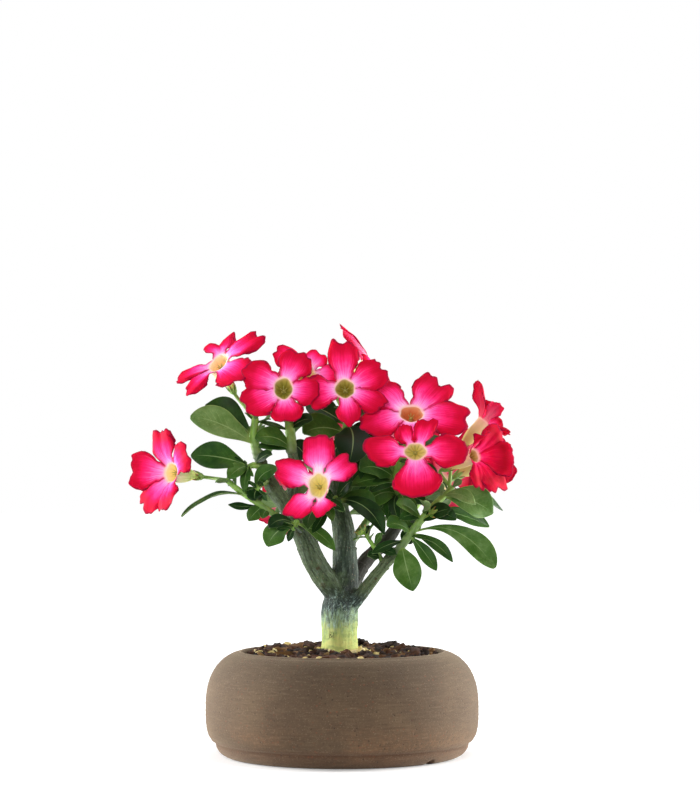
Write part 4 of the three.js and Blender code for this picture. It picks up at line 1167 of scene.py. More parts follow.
def make_wood(material):
    """The limbs grown into one body, with lumps, fibres, scars and knots."""
    paths, radii, alongs, looks = zip(*limb_lines())
    mesh = blended_limbs(paths, radii, material)
    rooted = [path[0, 2] < FORK_HEIGHT for path in paths]
    grown = [along * 0 + 1 if low else smoothstep(along, *OWN_LOOK) for along, low in zip(alongs, rooted)]
    directions = np.concatenate([unit(np.gradient(path, axis=0)) for path in paths])
    centres, radii, alongs, looks, grown = map(np.concatenate, (paths, radii, alongs, looks, grown))
    reaches = radii * lerp(0.4, 1, grown)
    looks = looks * grown[:, None]
    tree = kdtree.KDTree(len(centres))
    for i, centre in enumerate(centres):
        tree.insert(centre, i)
    tree.balance()
    points, normals = np.empty((2, len(mesh.vertices) * 3), np.float32)
    mesh.vertices.foreach_get("co", points)
    mesh.vertices.foreach_get("normal", normals)
    points = points.reshape(-1, 3).astype(float) / MM
    normals = normals.reshape(-1, 3).astype(float)
    grain = np.empty_like(points)
    shares = np.empty((len(points), 2))
    lift = np.zeros(len(points))
    for i, point in enumerate(points):
        near = tree.find_n(point, NEAR_POINTS)
        found = [index for _, index, _ in near]
        weights = [1 / max(distance / reaches[index], 0.2) ** 8 for _, index, distance in near]
        index = found[int(np.argmax(weights))]
        offset = point - centres[index]
        direction = directions[index]
        rise = offset.dot(direction)
        flat = offset - direction * rise
        grain[i] = (flat[0] - 0.3 * flat[2], flat[1] + 0.3 * flat[2], alongs[index] + rise)
        shares[i] = np.average(looks[found], axis=0, weights=weights)
        swell = noise.noise(Vector(point * 0.075)) * 0.55 + noise.noise(Vector(point * 0.2)) * 0.28
        lift[i] = swell + noise.noise(Vector(grain[i] * (0.7, 0.7, 0.09))) * 0.2
    scar = bark_marks(points, lift, tree, centres, radii, directions)
    moved = points + normals * lift[:, None]
    mesh.vertices.foreach_set("co", (moved * MM).astype(np.float32).ravel())
    hold_values(mesh, {"grain": grain, "young": shares[:, 0], "brown": shares[:, 1], "scar": scar})
    mesh.update()


# Leaves

def leaf_outline(u, pointed):
    """How wide a leaf is along its length, from its stalk at 0 to its tip at 1."""
    arch = np.sin(np.pi * u ** lerp(1.6, 1.25, pointed))
    return np.maximum(PETIOLE_SHARE, arch ** lerp(0.66, 1, max(pointed, 0)))


def leaf_rise(grid_u, grid_v, wide, width, phase, random):
    """How far a leaf's fold, its waved margins, its drooping tip and its veins lift it from its spine."""
    rise = LEAF_FOLD * wide * (np.sqrt(grid_v ** 2 + 0.03) - 0.17) * random.uniform(0.65, 1.05)
    waves = np.sin(random.uniform(7, 11) * grid_u + phase[1] + np.sign(grid_v) * phase[2])
    rise += LEAF_WAVE * width * np.abs(grid_v) ** 2.5 * waves * smoothstep(grid_u, 0.15, 0.5)
    rise -= LEAF_DROOP * width * smoothstep(grid_u, 0.72, 1) ** 1.5 * random.uniform(0.3, 1.4)
    veins = np.sin(grid_u * 55 - np.abs(grid_v) * 14 + phase[3])
    return rise + VEIN_HEIGHT * veins * (1 - np.abs(grid_v)) * (wide > 4)


def leaf_thickness(grid_u, grid_v, wide):
    """Thick at the stalk and along the midrib, thin at the margins."""
    thickness = lerp(LEAF_STALK_THICKNESS, LEAF_THICKNESS, smoothstep(grid_u, 0, 0.16))
    midrib = MIDRIB_HEIGHT * np.exp(-(grid_v * wide / MIDRIB_WIDTH) ** 2) * (1 - grid_u)
    return thickness * np.sqrt(1.04 - grid_v ** 2) + midrib


def leaf(base, tip, bend, width, face, look, random):
    """One leaf: folded at the midrib, waved at its margins, with a thick stalk and a thin edge."""
    tone, pointed = look
    rows, columns = LARGE_LEAF_GRID if width > LARGE_LEAF else SMALL_LEAF_GRID
    u = 0.5 - 0.5 * np.cos(np.pi * np.linspace(0, 0.985, rows))
    u = u / u[-1] * 0.995
    v = spread(columns)
    spine, tangent = bezier(base, (base + tip) / 2 + bend, tip, u)
    normal = unit(face - tangent * (tangent @ face)[:, None])
    side = np.cross(tangent, normal)
    twist = math.radians(random.uniform(-LEAF_TWIST, LEAF_TWIST)) * u[:, None]
    ahead, across = np.cos(twist), np.sin(twist)
    side, normal = side * ahead + normal * across, normal * ahead - side * across
    half = width / 2 * leaf_outline(u, pointed)
    grid_u, grid_v = np.meshgrid(u, v, indexing="ij")
    wide = half[:, None] * np.ones_like(grid_v)
    phase = random.uniform(0, 6.3, 4)
    ragged = 1 + 0.03 * np.sin(9 * grid_u + phase[0] + 2 * np.sign(grid_v)) * np.abs(grid_v) ** 2
    rise = leaf_rise(grid_u, grid_v, wide, width, phase, random)
    points = spine[:, None] + side[:, None] * (wide * grid_v * ragged)[..., None]
    points = points + normal[:, None] * rise[..., None]
    thickness = leaf_thickness(grid_u, grid_v, wide)
    quads = grid_faces(rows, columns)[:, ::-1]
    blade = np.stack([grid_u, grid_v, np.full_like(grid_u, tone)], -1).reshape(-1, 3)
    return thicken(points.reshape(-1, 3), quads, thickness.ravel(), {"blade": blade})


def placed_leaves(shoot, random):
    """The leaves that a shoot's rows place one by one."""
    points = stem_points(shoot["stem"])
    for t, x, y, z, side_bend, rise, width, lean, *shade in shoot.get("leaves", []):
        angle = math.radians(lean)
        face = np.array([0, -math.sin(angle), math.cos(angle)])
        bend = np.array([side_bend, 0, rise], float)
        look = (shade[0] if shade else random.uniform(0.05, 0.6), shade[1] if len(shade) > 1 else 0.2)
        yield leaf(spline_point(points, t), np.array([x, y, z], float), bend, width, face, look, random)


def turned_about(vector, axis, angle):
    """A vector turned about an axis by an angle in radians."""
    return np.array(Matrix.Rotation(angle, 3, Vector(axis)) @ Vector(vector))


def climbing_leaves(shoot, spiral, random):
    """Leaves that climb a stem at the golden angle and spread from it."""
    points = stem_points(shoot["stem"])
    count, first, last, start, length = spiral
    for i in range(count):
        t = lerp(first, last, i / (count - 1))
        axis = spline_direction(points, t)
        outward = unit(np.array([1.0, 0, 0]) - axis * axis[0])
        outward = turned_about(outward, axis, math.radians(start + GOLDEN_ANGLE * i))
        reach = length * (1 - SPIRAL_SHORTENING * t)
        base = spline_point(points, t)
        tip = base + outward * reach * SPIRAL_SPREAD + axis * reach * SPIRAL_CLIMB
        bend = np.array([0, 0, reach * SPIRAL_ARCH])
        yield leaf(base, tip, bend, reach * SPIRAL_WIDTH, axis, (random.uniform(0.0, 0.5), 0.3), random)


# Blooms

def bloom_frame(bloom):
    """A 3 by 3 of the right, up and facing directions, and the middle of the mouth."""
    out = unit(np.array(bloom["facing"], float))
    right = unit(np.cross([0, 0, 1], out))
    up = np.cross(out, right)
    return np.stack([right, up, out]), np.array(bloom["mouth"], float)


def petal_rise(u, waist):
    """How wide a petal is along its length, from its waist at 0 to its tip at 1."""
    return np.maximum(waist + 0.15 * u, np.sin(np.pi * np.minimum(u, WIDEST_PART) ** 1.5) ** 0.65)


def uneven(count, random):
    """Random numbers round 0, each pulled towards its neighbours'."""
    return np.convolve(random.normal(0, 1, count + 2), [0.3, 0.6, 0.3], "valid")


def between_clefts(angle, clefts, v):
    """Angles round the mouth across one petal, from the cleft before it to the one after."""
    return np.where(v > 0, lerp(angle, clefts[1], v), lerp(angle, clefts[0], -v))


def petal_end(v, length, slant, power, random):
    """How far out a petal ends at each place across it, with the notch or point in its middle."""
    end = lerp(WIDEST_PART, 1, (1 - np.abs(v) ** power) ** (1 / power)) + slant * v * (1 - v ** 6)
    end = end + length * np.exp(-((v - random.uniform(-0.2, 0.2)) / (0.17 + abs(length))) ** 2)
    return end + 0.024 * uneven(len(v), random) * smoothstep(1 - np.abs(v), 0, 0.2)


def petal_waves(u, grid_s, grid_v, phase):
    """How far a petal's ruffles, its curled margins and its crease lift it from its spine."""
    edge = np.abs(grid_v)
    wave = PETAL_RUFFLE * u * edge ** 2 * np.sin(5 * u + phase[2] + 1.2 * grid_v)
    wave = wave + 0.75 * u * edge ** 4 * np.sin(15 * u + phase[3] + np.sign(grid_v) * phase[4])
    wave = wave + 0.7 * grid_s ** 5 * np.sin(6 * grid_v + phase[5])
    wave = wave - 1.7 * edge ** 5 * smoothstep(u, 0.2, 0.5) + 0.5 * grid_v * u * (1 - u) * 4
    wave = wave - 2.2 * np.exp(-(grid_v / 0.13) ** 2) * u * (1 - u)
    return wave + 0.9 * np.sin(7 * grid_v + phase[1]) * u * (1 - u) - 1.2 * grid_s ** 6


def petal_sheet(row, waist, clefts, random):
    """One petal as a grid that starts on the rim of the mouth: places, shares along and across, and edges."""
    rows, columns = PETAL_ROWS, PETAL_COLUMNS
    angle, reach, lean = row[:3]
    width = row[3] if len(row) > 3 else PETAL_WIDTH
    middle = random.choice([-0.07, -0.04, 0.04, 0.06])
    length, slant, power = row[4:] if len(row) > 4 else (middle, random.uniform(-0.09, 0.09), PETAL_BLUNTNESS)
    turn, tilt = math.radians(angle), math.radians(lean)
    s = np.linspace(0, 1, rows) ** 0.9
    v = spread(columns)
    grid_s, grid_v = np.meshgrid(s, v, indexing="ij")
    phase = random.uniform(0, 6.3, 6)
    u = np.clip(grid_s * petal_end(v, length, slant, power, random), 0, 1.05)
    base = np.array([MOUTH_OF_BLOOM, 0])
    arch = np.array([MOUTH_OF_BLOOM + 2 + reach * 0.12, 4 + reach * 0.35 * math.sin(tilt)])
    tip = np.array([reach * math.cos(tilt), reach * math.sin(tilt)])
    (spine_r, spine_h), (along_r, along_h) = (np.moveaxis(a, -1, 0) for a in bezier(base, arch, tip, u))
    half = width / 2 * petal_rise(np.minimum(u, 1), waist)
    edge = np.abs(grid_v)
    teeth = np.where(grid_v > 0, uneven(rows, random)[:, None], uneven(rows, random)[:, None])
    ragged = 0.04 * np.sin(11 * u + phase[2] * np.sign(grid_v)) + 0.06 * teeth * smoothstep(u, 0.15, 0.4)
    half = half * (1 + ragged * edge ** 4)
    wave = petal_waves(u, grid_s, grid_v, phase)
    sideways = half * grid_v
    radial = spine_r - wave * along_h
    height = spine_h + wave * along_r
    x = radial * math.cos(turn) - sideways * math.sin(turn)
    y = radial * math.sin(turn) + sideways * math.cos(turn)
    petal = np.stack([x, y, height], -1)
    around = np.radians(between_clefts(angle, clefts, grid_v))
    flare = np.stack([spine_r * np.cos(around), spine_r * np.sin(around), spine_h], -1)
    share = smoothstep(u, 0.0, 0.2)[..., None]
    margin = np.maximum(edge, grid_s ** 1.5)
    return lerp(flare, petal, share), grid_s, grid_v, margin


def funnel(heights, radii, around, v_ring, flutes, blade_length, tone):
    """A grid of fluted rings, as points and as the blade value that the petal material reads."""
    reach = radii[:, None] * (1 + flutes[:, None] * np.cos(np.pi * v_ring))
    rise = np.repeat(heights[:, None], len(around), 1)
    points = np.stack([np.cos(around) * reach, np.sin(around) * reach, rise], -1).reshape(-1, 3)
    u, v = np.meshgrid(heights / blade_length, v_ring, indexing="ij")
    return points, np.stack([u, v, np.full_like(u, tone)], -1).reshape(-1, 3)


def petal_places(bloom):
    """The petals' rows in their order round the mouth, each with the clefts before and after it."""
    petals = sorted(bloom["petals"], key=lambda row: row[0] % 360)
    gaps = [(petals[(i + 1) % 5][0] - petals[i][0]) % 360 for i in range(5)]
    return [(row, (row[0] - gaps[i - 1] / 2, row[0] + gaps[i] / 2)) for i, row in enumerate(petals)]


def corolla(bloom, random):
    """A bloom without its anthers: a tube that opens into five petals, and the lining of its throat."""
    rows, columns = PETAL_ROWS, PETAL_COLUMNS
    places = petal_places(bloom)
    waist = bloom.get("waist", PLAIN_WAIST)
    sheets = [petal_sheet(row, waist, clefts, random) for row, clefts in places]
    v_ring = spread(columns)[:-1]
    around = np.concatenate([between_clefts(row[0], clefts, v_ring) for row, clefts in places])
    around = np.radians(around)
    v_ring = np.tile(v_ring, 5)
    count = len(around)
    start = count * TUBE_ROWS
    rim = start - count
    heights = lerp(-TUBE_LENGTH, 0, np.linspace(0, 1, TUBE_ROWS) ** 0.8)
    radii = np.interp(heights, TUBE_HEIGHTS, TUBE_RADII)
    flutes = 0.035 * smoothstep(heights, -20, -4)
    ring, tube_blade = funnel(heights, radii, around, v_ring, flutes, TUBE_LENGTH, painted_throat_shade(bloom))
    points, blade, margin = [ring], [tube_blade], [np.zeros(start)]
    quads = [grid_faces(TUBE_ROWS, count, closed=True)]
    for i, (sheet, s, v, edge) in enumerate(sheets):
        points.append(sheet[1:].reshape(-1, 3))
        tone = np.full(s[1:].size, bloom["depth"] + random.uniform(-0.1, 0.1))
        blade.append(np.stack([s[1:].ravel(), v[1:].ravel(), tone], 1))
        margin.append(edge[1:].ravel())
        ids = np.empty((rows, columns), int)
        ids[0] = rim + (np.arange(columns) + i * (columns - 1)) % count
        ids[1:] = start + np.arange((rows - 1) * columns).reshape(rows - 1, columns)
        quads.append(ids.reshape(-1)[grid_faces(rows, columns)])
        start += (rows - 1) * columns
    points, quads, blade, margin = map(np.concatenate, (points, quads, blade, margin))
    share = np.clip(blade[:, 0], 0, 1)
    thickness = lerp(PETAL_FOOT_THICKNESS, PETAL_THICKNESS, share) * (1 - 0.5 * margin)
    warmth = np.full(len(points), bloom.get("warmth", PLAIN_WARMTH))
    points = shaped_throat(bloom, points)
    outer = thicken(points, quads, thickness, {"blade": blade, "margin": margin, "warmth": warmth})
    return merged([outer, throat_lining(bloom, around, v_ring)])


def shaped_throat(bloom, points):
    """Throats aren't all round: this widens or heightens the points near the mouth."""
    near = smoothstep(points[:, 2], -22, -4) * smoothstep(np.hypot(points[:, 0], points[:, 1]), 19, 8)
    factors = [lerp(1, factor, near) for factor in bloom.get("throat", PLAIN_THROAT)]
    return points * np.stack([*factors, np.ones(len(points))], 1)


def painted_throat_shade(bloom):
    """How dim the throat is: the painted shade inside it."""
    return bloom.get("dim", bloom["depth"])


def throat_lining(bloom, around, v_ring):
    """The fluted funnel inside the throat, which closes round the anthers."""
    heights = np.interp(np.linspace(0, 7, LINING_ROWS), range(8), LINING_HEIGHTS)
    radii = np.interp(heights[::-1], LINING_HEIGHTS[::-1], LINING_RADII[::-1])[::-1]
    flutes = 0.04 * smoothstep(-heights, 9, 4)
    points, blade = funnel(heights, radii, around, v_ring, flutes, LINING_DEPTH, painted_throat_shade(bloom))
    quads = grid_faces(LINING_ROWS, len(around), closed=True)[:, ::-1]
    warmth = np.full(len(blade), bloom.get("warmth", PLAIN_WARMTH))
    values = {"blade": blade, "margin": np.zeros(len(blade)), "warmth": warmth}
    return thicken(shaped_throat(bloom, points), quads, np.full(len(blade), LINING_THICKNESS), values)


def anthers(random):
    """The cone of anthers in the throat, and the thin feathery tails that rise from it."""
    cone = np.array([(0, 0, -10.5), (0, 0, -8.5), (0, 0, -6.5), (0, 0, -4.8)], float)
    parts = [tube(cone, np.array([1.9, 1.7, 1.1, 0.4]), 10)]
    for i in range(5):
        lean = random.uniform(0.8, 1.2)
        outward = level_way(math.radians(72 * i + 20))
        start = outward * 0.7 + (0, 0, -7)
        middle = outward * 1.0 * lean + (0, 0, -4.4)
        end = outward * 2.4 * lean + (0, 0, -2.4 * lean)
        path, _ = bezier(start, middle, end, np.linspace(0, 1, 8))
        parts.append(tube(path, np.linspace(0.45, 0.2, 8), 6))
    return merged(parts)


def placed(part, bloom):
    """A part of a bloom moved from round the origin, facing up, to where the bloom is."""
    axes, mouth = bloom_frame(bloom)
    return part[0] @ axes + mouth, part[1], part[2]


def calyx_lobes(bloom):
    """Five pointed green lobes that hold the foot of the tube."""
    parts = []
    foot = -TUBE_LENGTH - 1.5
    ts = np.linspace(0, 1, LOBE_ROWS)
    v = np.linspace(-1, 1, LOBE_COLUMNS)
    half = LOBE_HALF_WIDTH * (1 - np.linspace(0, 0.97, LOBE_ROWS) ** 1.6)
    red = np.repeat(smoothstep(ts, 0.55, 1) * 0.8, LOBE_COLUMNS)
    grain = np.repeat(np.outer(np.linspace(0, 8, LOBE_ROWS), (0, 0, 1)), LOBE_COLUMNS, 0)
    quads = grid_faces(LOBE_ROWS, LOBE_COLUMNS)
    for i in range(5):
        turn = math.radians(72 * i + 10)
        outward = level_way(turn)
        base, arch, tip = (outward * r + (0, 0, foot + z) for r, z in ((2.3, 0), (3.9, 3), (3.7, 8)))
        spine, _ = bezier(base, arch, tip, ts)
        side = np.array([-math.sin(turn), math.cos(turn), 0])
        points = spine[:, None] + side * (half[:, None] * v)[..., None]
        points = points - outward * (0.35 * half[:, None] * v ** 2)[..., None]
        sheet = points.reshape(-1, 3)
        part = thicken(sheet, quads, np.full(len(sheet), LOBE_THICKNESS), {"red": red, "grain": grain})
        part[2].pop("topside")
        parts.append(part)
    return placed(merged(parts), bloom)


def stalk(bloom, points):
    """A bloom's stalk, from its place on the shoot's stem to the cup that holds the tube."""
    axes, mouth = bloom_frame(bloom)

    def on_axis(h):
        return mouth + axes[2] * (h - TUBE_LENGTH - CLEARANCE)

    neck = on_axis(CALYX_NECK)
    root = spline_point(points, bloom.get("from", 1))
    path, _ = bezier(root, on_axis(STALK_BOW), neck, np.linspace(0, 1, 14))
    cup = np.array([on_axis(h) for h in (-3.6, -CALYX_DEPTH, -0.8, 0)])
    radii = [STALK_RADIUS] * 14 + [1.9, CALYX_RADIUS - 0.2, CALYX_RADIUS - 0.1, 2.4]
    return tube(np.concatenate([path, cup]), np.array(radii), 12)


def bud_tuft(points, row):
    """A small bud with pointed red-tipped sepals spread round it."""
    t, x, y, z, radius = row
    start, end = spline_point(points, t), np.array([x, y, z], float)
    direction = unit(end - start)
    path = lerp(start, end, np.linspace(0, 1, 10)[:, None])
    radii = np.interp(np.linspace(0, 1, 10), [0, 0.4, 0.75, 1], [1, 0.8, radius, 0.5])
    parts = [tube(path, radii, 10)]
    parts[0][2]["red"] = np.full(len(parts[0][0]), 0.1)
    across = unit(np.cross(direction, [0.2, -1, 0.3]))
    for i in range(7):
        outward = turned_about(across, direction, math.radians(GOLDEN_ANGLE * i))
        base = lerp(start, end, 0.55)
        tip = base + outward * (4.6 + 0.4 * (i % 3)) + direction * (4 + i % 2)
        spike, _ = bezier(base, base + outward * 3 + direction * 0.8, tip, np.linspace(0, 1, 7))
        part = tube(spike, np.array([1, 1.05, 0.95, 0.8, 0.6, 0.4, 0.2]), 7)
        along = part[2]["grain"][:, 2]
        part[2]["red"] = 0.6 * smoothstep(along, 5.2, 7)
        parts.append(part)
    return merged(parts)


def shoot_stem(rows, random):
    """A shoot's own stem, with the rings that old leaves left."""
    path, radii = centreline(rows, 0.8)
    spacing = random.uniform(4.2, 5.6)
    rings = np.exp(-(((distances(path) + random.uniform(0, 4)) % spacing - spacing / 2) / 0.55) ** 2)
    part = tube(path, radii * (1 + 0.09 * rings), 14)
    along = part[2]["grain"][:, 2]
    part[2]["age"] = np.clip(lerp(0.95, -0.6, along / along.max()), 0, 1)
    return part


# Mulch

# How many, spans of length, width and height, sharpness, span of lift, and how far from the middle
CHIPS = [
    (70, [(9, 15), (6, 9), (2.6, 4.2)], 0.72, (0.4, 1.8), 61),
    (430, [(4, 8), (2.5, 5), (1.5, 3)], 0.65, (0.2, 1.6), 66),
    (420, [(1.5, 3.4), (1.2, 2.6), (1, 2)], 0.5, (0.2, 1.4), 68),
]
STONES = [
    (110, [(1.8, 4.4), (1.6, 3.6), (1.4, 2.8)], 0.4, (1.2, 2.6), 20),
    (30, [(3.5, 6.5), (3, 5), (2.4, 4)], 0.3, (0.3, 1.5), 66),
    (60, [(1.6, 3), (1.4, 2.6), (1.2, 2.2)], 0.3, (0.3, 1.4), 68),
]
STRANDS = 130
TRUNK_X = -2
TRUNK_GAP = 14.2
MULCH_SEED = 11
BROWN_TONES = [0.1, 0.25, 0.3, 0.45, 0.55, 0.6, 0.72, 0.84]
PALE_TONES = [0.2, 0.5, 0.8]


def heap(y):
    """How much higher the mulch lies towards the back."""
    return MULCH_HEAP * smoothstep(y, HEAP_START, HEAP_END)


def mulch_height(x, y):
    """The mulch's surface: heaped up at the back, at the lip and round the trunk's foot."""
    ripple = 0.8 * np.sin(0.21 * x + 1.3) * np.cos(0.17 * y) + 0.5 * np.sin(0.4 * (x + y))
    at_lip = LIP_HEAP * smoothstep(np.hypot(x, y), 48, 68) * smoothstep(y, 45, 15)
    at_foot = FOOT_HEAP * smoothstep(np.hypot(x - TRUNK_X, y), 40, 17)
    return MULCH_TOP + np.maximum(heap(y), at_foot) + at_lip + ripple


def mulch_bed():
    """The crumbly surface between the chips, closed below."""
    radii = np.concatenate([np.linspace(0.5, MULCH_RADIUS - 0.2, 50), [MULCH_RADIUS - 0.2, 20, 0.5]])
    turns = np.linspace(0, 2 * np.pi, 150, endpoint=False)
    x = radii[:, None] * np.cos(turns)
    y = radii[:, None] * np.sin(turns)
    z = mulch_height(x, y)
    for index in np.ndindex(z.shape):
        crumb = noise.fractal(Vector((x[index] * 0.24, y[index] * 0.24, 0.5)), 0.7, 2.1, 4)
        z[index] += 0.9 * crumb - 0.4
    z[-3:] = SOIL_TOP + CLEARANCE
    points = np.stack([x, y, z], -1).reshape(-1, 3)
    rows, columns = x.shape
    faces = grid_faces(rows, columns, closed=True).tolist()
    faces += [list(range(columns)), list(range((rows - 1) * columns, rows * columns))[::-1]]
    return points, faces, {}


def lump(size, random, sharpness):
    """A rough pebble or chip: a small rounded box pushed about, of the size given."""
    side = 5 if max(size) > SMALL_LUMP else 4
    ticks = np.linspace(-1, 1, side)
    points, faces = [], []
    for axis in range(3):
        for sign in (-1, 1):
            a, b = np.meshgrid(ticks, ticks, indexing="ij")
            face = np.empty((side, side, 3))
            face[..., axis] = sign
            face[..., (axis + 1) % 3] = a
            face[..., (axis + 2) % 3] = b
            start = len(points) * side * side
            quads = grid_faces(side, side) + start
            faces.append(quads if sign > 0 else quads[:, ::-1])
            points.append(face.reshape(-1, 3))
    points = np.concatenate(points)
    points, index = np.unique(np.round(points, 5), axis=0, return_inverse=True)
    faces = index.ravel()[np.concatenate(faces)]
    ball = unit(points)
    points = lerp(points, ball * 1.2, 1 - sharpness)
    shift = Vector(random.uniform(0, 99, 3))
    rough = np.array([noise.noise(Vector(p) * 1.3 + shift) for p in points])
    points = points * (1 + 0.35 * rough)[:, None] * np.array(size) / 2
    return points, faces


def random_spot(reach, closest, random):
    """A random place on the mulch: its distance from the pot's axis, its x and its y."""
    radius = reach * random.uniform(closest, 1) ** 0.5
    turn = random.uniform(0, 2 * math.pi)
    return radius, radius * math.cos(turn), radius * math.sin(turn)


def scattered(count, sizes, sharpness, lift, reach, tones, random):
    """Lumps strewn over the mulch, lying nearly flat. Each keeps clear of the trunk and the pot's lip."""
    parts = []
    while len(parts) < count:
        radius, x, y = random_spot(reach, 0, random)
        size = [random.uniform(*span) for span in sizes]
        at_trunk = math.hypot(x - TRUNK_X, y) < TRUNK_GAP + size[0] / 3
        if at_trunk or radius + size[0] / 2 > MULCH_RADIUS - 0.3:
            continue
        points, faces = lump(size, random, sharpness)
        grain = points + random.uniform(0, 50, 3)
        tilt = Matrix.Rotation(random.normal(0, 0.32), 3, "X")
        tilt = tilt @ Matrix.Rotation(random.normal(0, 0.28), 3, "Y")
        spin = Matrix.Rotation(random.uniform(0, math.pi), 3, "Z") @ tilt
        points = points @ np.array(spin).T + (x, y, mulch_height(x, y) + random.uniform(*lift))
        tone = np.full(len(points), random.choice(tones) + random.uniform(-0.06, 0.06))
        parts.append((points, faces.tolist(), {"tone": tone, "grain": grain}))
    return merged(parts)


def fibre_strands(count, random):
    """Short curled strands of coconut fibre."""
    parts = []
    for _ in range(count):
        _, x, y = random_spot(MULCH_RADIUS - 7, 0.05, random)
        if math.hypot(x - TRUNK_X, y) < 19:
            continue
        way = random.uniform(0, 2 * math.pi)
        length = random.uniform(4, 10)
        ahead = level_way(way) * length / 2
        middle = np.array([x, y, mulch_height(x, y) + random.uniform(1.5, 3.2)])
        sway = random.normal(0, 1.6, 3) * (1, 1, 0.4)
        low = middle - (0, 0, 1.2)
        path, _ = bezier(low - ahead, middle + sway, low + ahead, np.linspace(0, 1, 8))
        radii = np.full(8, random.uniform(0.22, 0.42))
        part = tube(path, radii, 5)
        part[2]["tone"] = np.full(len(part[0]), random.uniform(0.35, 0.7))
        parts.append(part)
    return merged(parts)


def make_mulch():
    """The top dressing: its surface, and the chips, strands and stones that lie on it."""
    random = np.random.default_rng(MULCH_SEED)
    chips, gravel = chip_material(), gravel_material()
    add_piece("mulch_bed", mulch_bed(), humus_material(), "bark_mulch", "bark_mulch")
    lumps = [scattered(*row, BROWN_TONES, random) for row in CHIPS]
    add_piece("chips", merged([*lumps, fibre_strands(STRANDS, random)]), chips, "bark_mulch")
    stones = [scattered(*row, PALE_TONES, random) for row in STONES]
    add_piece("gravel_bits", merged(stones), gravel, "bark_mulch")


# The plant

SHOOT_SEED = 100
BLOOM_SEED = 200
# The tuft at each shoot's end: how many leaves, where they start and end on the stem, their length, and
# how many degrees each tuft is turned from the one before
TUFT_LEAVES = 4
TUFT_START = 0.82
TUFT_END = 0.99
TUFT_LENGTH = 17
TUFT_TURN = 60


def make_plant():
    """The wood, the shoots with what grows on them, and the blooms."""
    leaf_look, green, petal, anther = leaf_material(), green_material(), petal_material(), anther_material()
    make_wood(wood_material())
    for number, (name, shoot) in enumerate(SHOOTS.items()):
        random = np.random.default_rng(SHOOT_SEED + number)
        points = stem_points(shoot["stem"])
        leaves = list(placed_leaves(shoot, random))
        if "spiral" in shoot:
            leaves += climbing_leaves(shoot, shoot["spiral"], random)
        tuft = (TUFT_LEAVES, TUFT_START, TUFT_END, TUFT_TURN * number, TUFT_LENGTH)
        leaves += climbing_leaves(shoot, tuft, random)
        add_piece(f"leaves_{name}", merged(leaves), leaf_look, "leaf", f"shoot_{name}")
        stems = [shoot_stem(shoot["stem"], random)]
        stems += [bud_tuft(points, row) for row in shoot.get("buds", [])]
        for bloom in BLOOMS.values():
            if bloom["shoot"] == name:
                stems += [stalk(bloom, points), calyx_lobes(bloom)]
        add_piece(f"stems_{name}", merged(stems), green, "leaf", f"shoot_{name}")
    for number, (name, bloom) in enumerate(BLOOMS.items()):
        random = np.random.default_rng(BLOOM_SEED + number)
        flower = placed(corolla(bloom, random), bloom)
        add_piece(f"corolla_{name}", flower, petal, "petal", f"bloom_{name}")
        add_piece(f"anthers_{name}", placed(anthers(random), bloom), anther, "petal", f"bloom_{name}")


# Studio

FLOOR_HALF = 12000
FLOOR_FADE = (250, 1800)
# Place, target and size in metres, power in watts, and how wide the light spreads in degrees
LIGHTS = {
    "side_left": ((-1.2, 0.3, 0.25), (0, 0, 0.08), (0.7, 0.8), 37, 180),
    "side_right": ((1.2, 0.3, 0.25), (0, 0, 0.08), (0.7, 0.8), 42, 180),
    "front": ((-0.35, -1.6, 0.75), (0, 0, 0.32), (0.8, 0.8), 2, 50),
    "above": ((0.1, 0.1, 1.6), (0, 0, 0.2), (0.9, 0.9), 10, 180),
}
SURROUNDINGS = 0.26


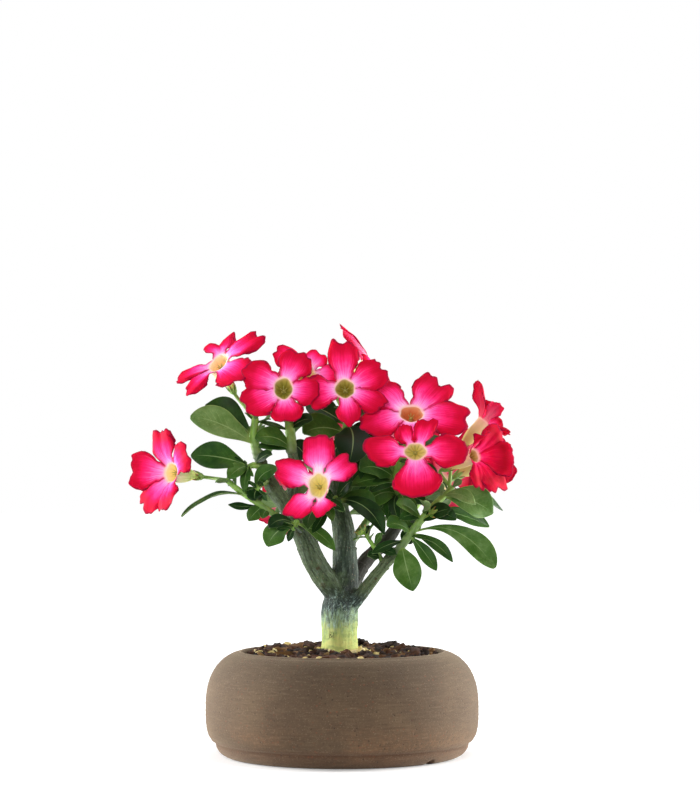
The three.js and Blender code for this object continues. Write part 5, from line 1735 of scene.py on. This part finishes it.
def make_floor():
    """A matt white floor that fades into the white background with distance."""
    s = Shader("floor", Roughness=0.9)
    s.surface.inputs["Base Color"].default_value = (0.86, 0.86, 0.86, 1)
    s.surface.inputs["Emission Color"].default_value = (1, 1, 1, 1)
    away = s.take("VectorMath", "Value", {0: s.place()}, operation="LENGTH")
    seen = s.take("LightPath", "Is Camera Ray", {})
    s.feed(s.surface.inputs["Emission Strength"], away.fade(*FLOOR_FADE, 0.22, 1) * seen)
    corners = np.array([(-1, -1, 0), (1, -1, 0), (1, 1, 0), (-1, 1, 0)]) * FLOOR_HALF
    floor = add_object("floor", make_mesh("floor", (corners, [[0, 1, 2, 3]], {})))
    floor.data.materials.append(s.material)


def aim(thing, place, target):
    """Turns a light or the camera so that it looks from its place at the target."""
    thing.rotation_euler = (Vector(target) - Vector(place)).to_track_quat("-Z", "Y").to_euler()


def area_light(name, place, target, size, power, beam):
    light = bpy.data.lights.new(name, "AREA")
    light.shape = "RECTANGLE"
    light.size, light.size_y = size
    light.energy = power
    light.spread = math.radians(beam)
    made = add_object(name, light)
    made.location = place
    aim(made, place, target)


def make_lights():
    """Even white surroundings, a strip at each side and a soft box above the front."""
    world = bpy.data.worlds.new("studio")
    world.use_nodes = True
    bpy.context.scene.world = world
    nodes, links = world.node_tree.nodes, world.node_tree.links
    background = nodes["Background"]
    background.inputs["Color"].default_value = (1, 1, 1, 1)
    path = nodes.new("ShaderNodeLightPath")
    strength = nodes.new("ShaderNodeMapRange")
    strength.inputs["To Min"].default_value = SURROUNDINGS
    strength.inputs["To Max"].default_value = 1.0
    links.new(path.outputs["Is Camera Ray"], strength.inputs["Value"])
    links.new(strength.outputs[0], background.inputs["Strength"])
    for name, row in LIGHTS.items():
        area_light(name, *row)


def make_camera():
    camera = bpy.data.cameras.new("camera")
    camera.lens = CAMERA_LENS
    camera.clip_end = 100
    made = add_object("camera", camera)
    made.location = Vector(CAMERA_PLACE) * MM
    aim(made, CAMERA_PLACE, CAMERA_TARGET)
    bpy.context.scene.camera = made


bpy.context.scene.view_settings.view_transform = "Standard"
make_camera()
make_lights()
make_floor()
make_pot(clay_material())
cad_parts["soil"].data.materials.clear()
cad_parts["soil"].data.materials.append(humus_material())
make_mulch()
make_plant()
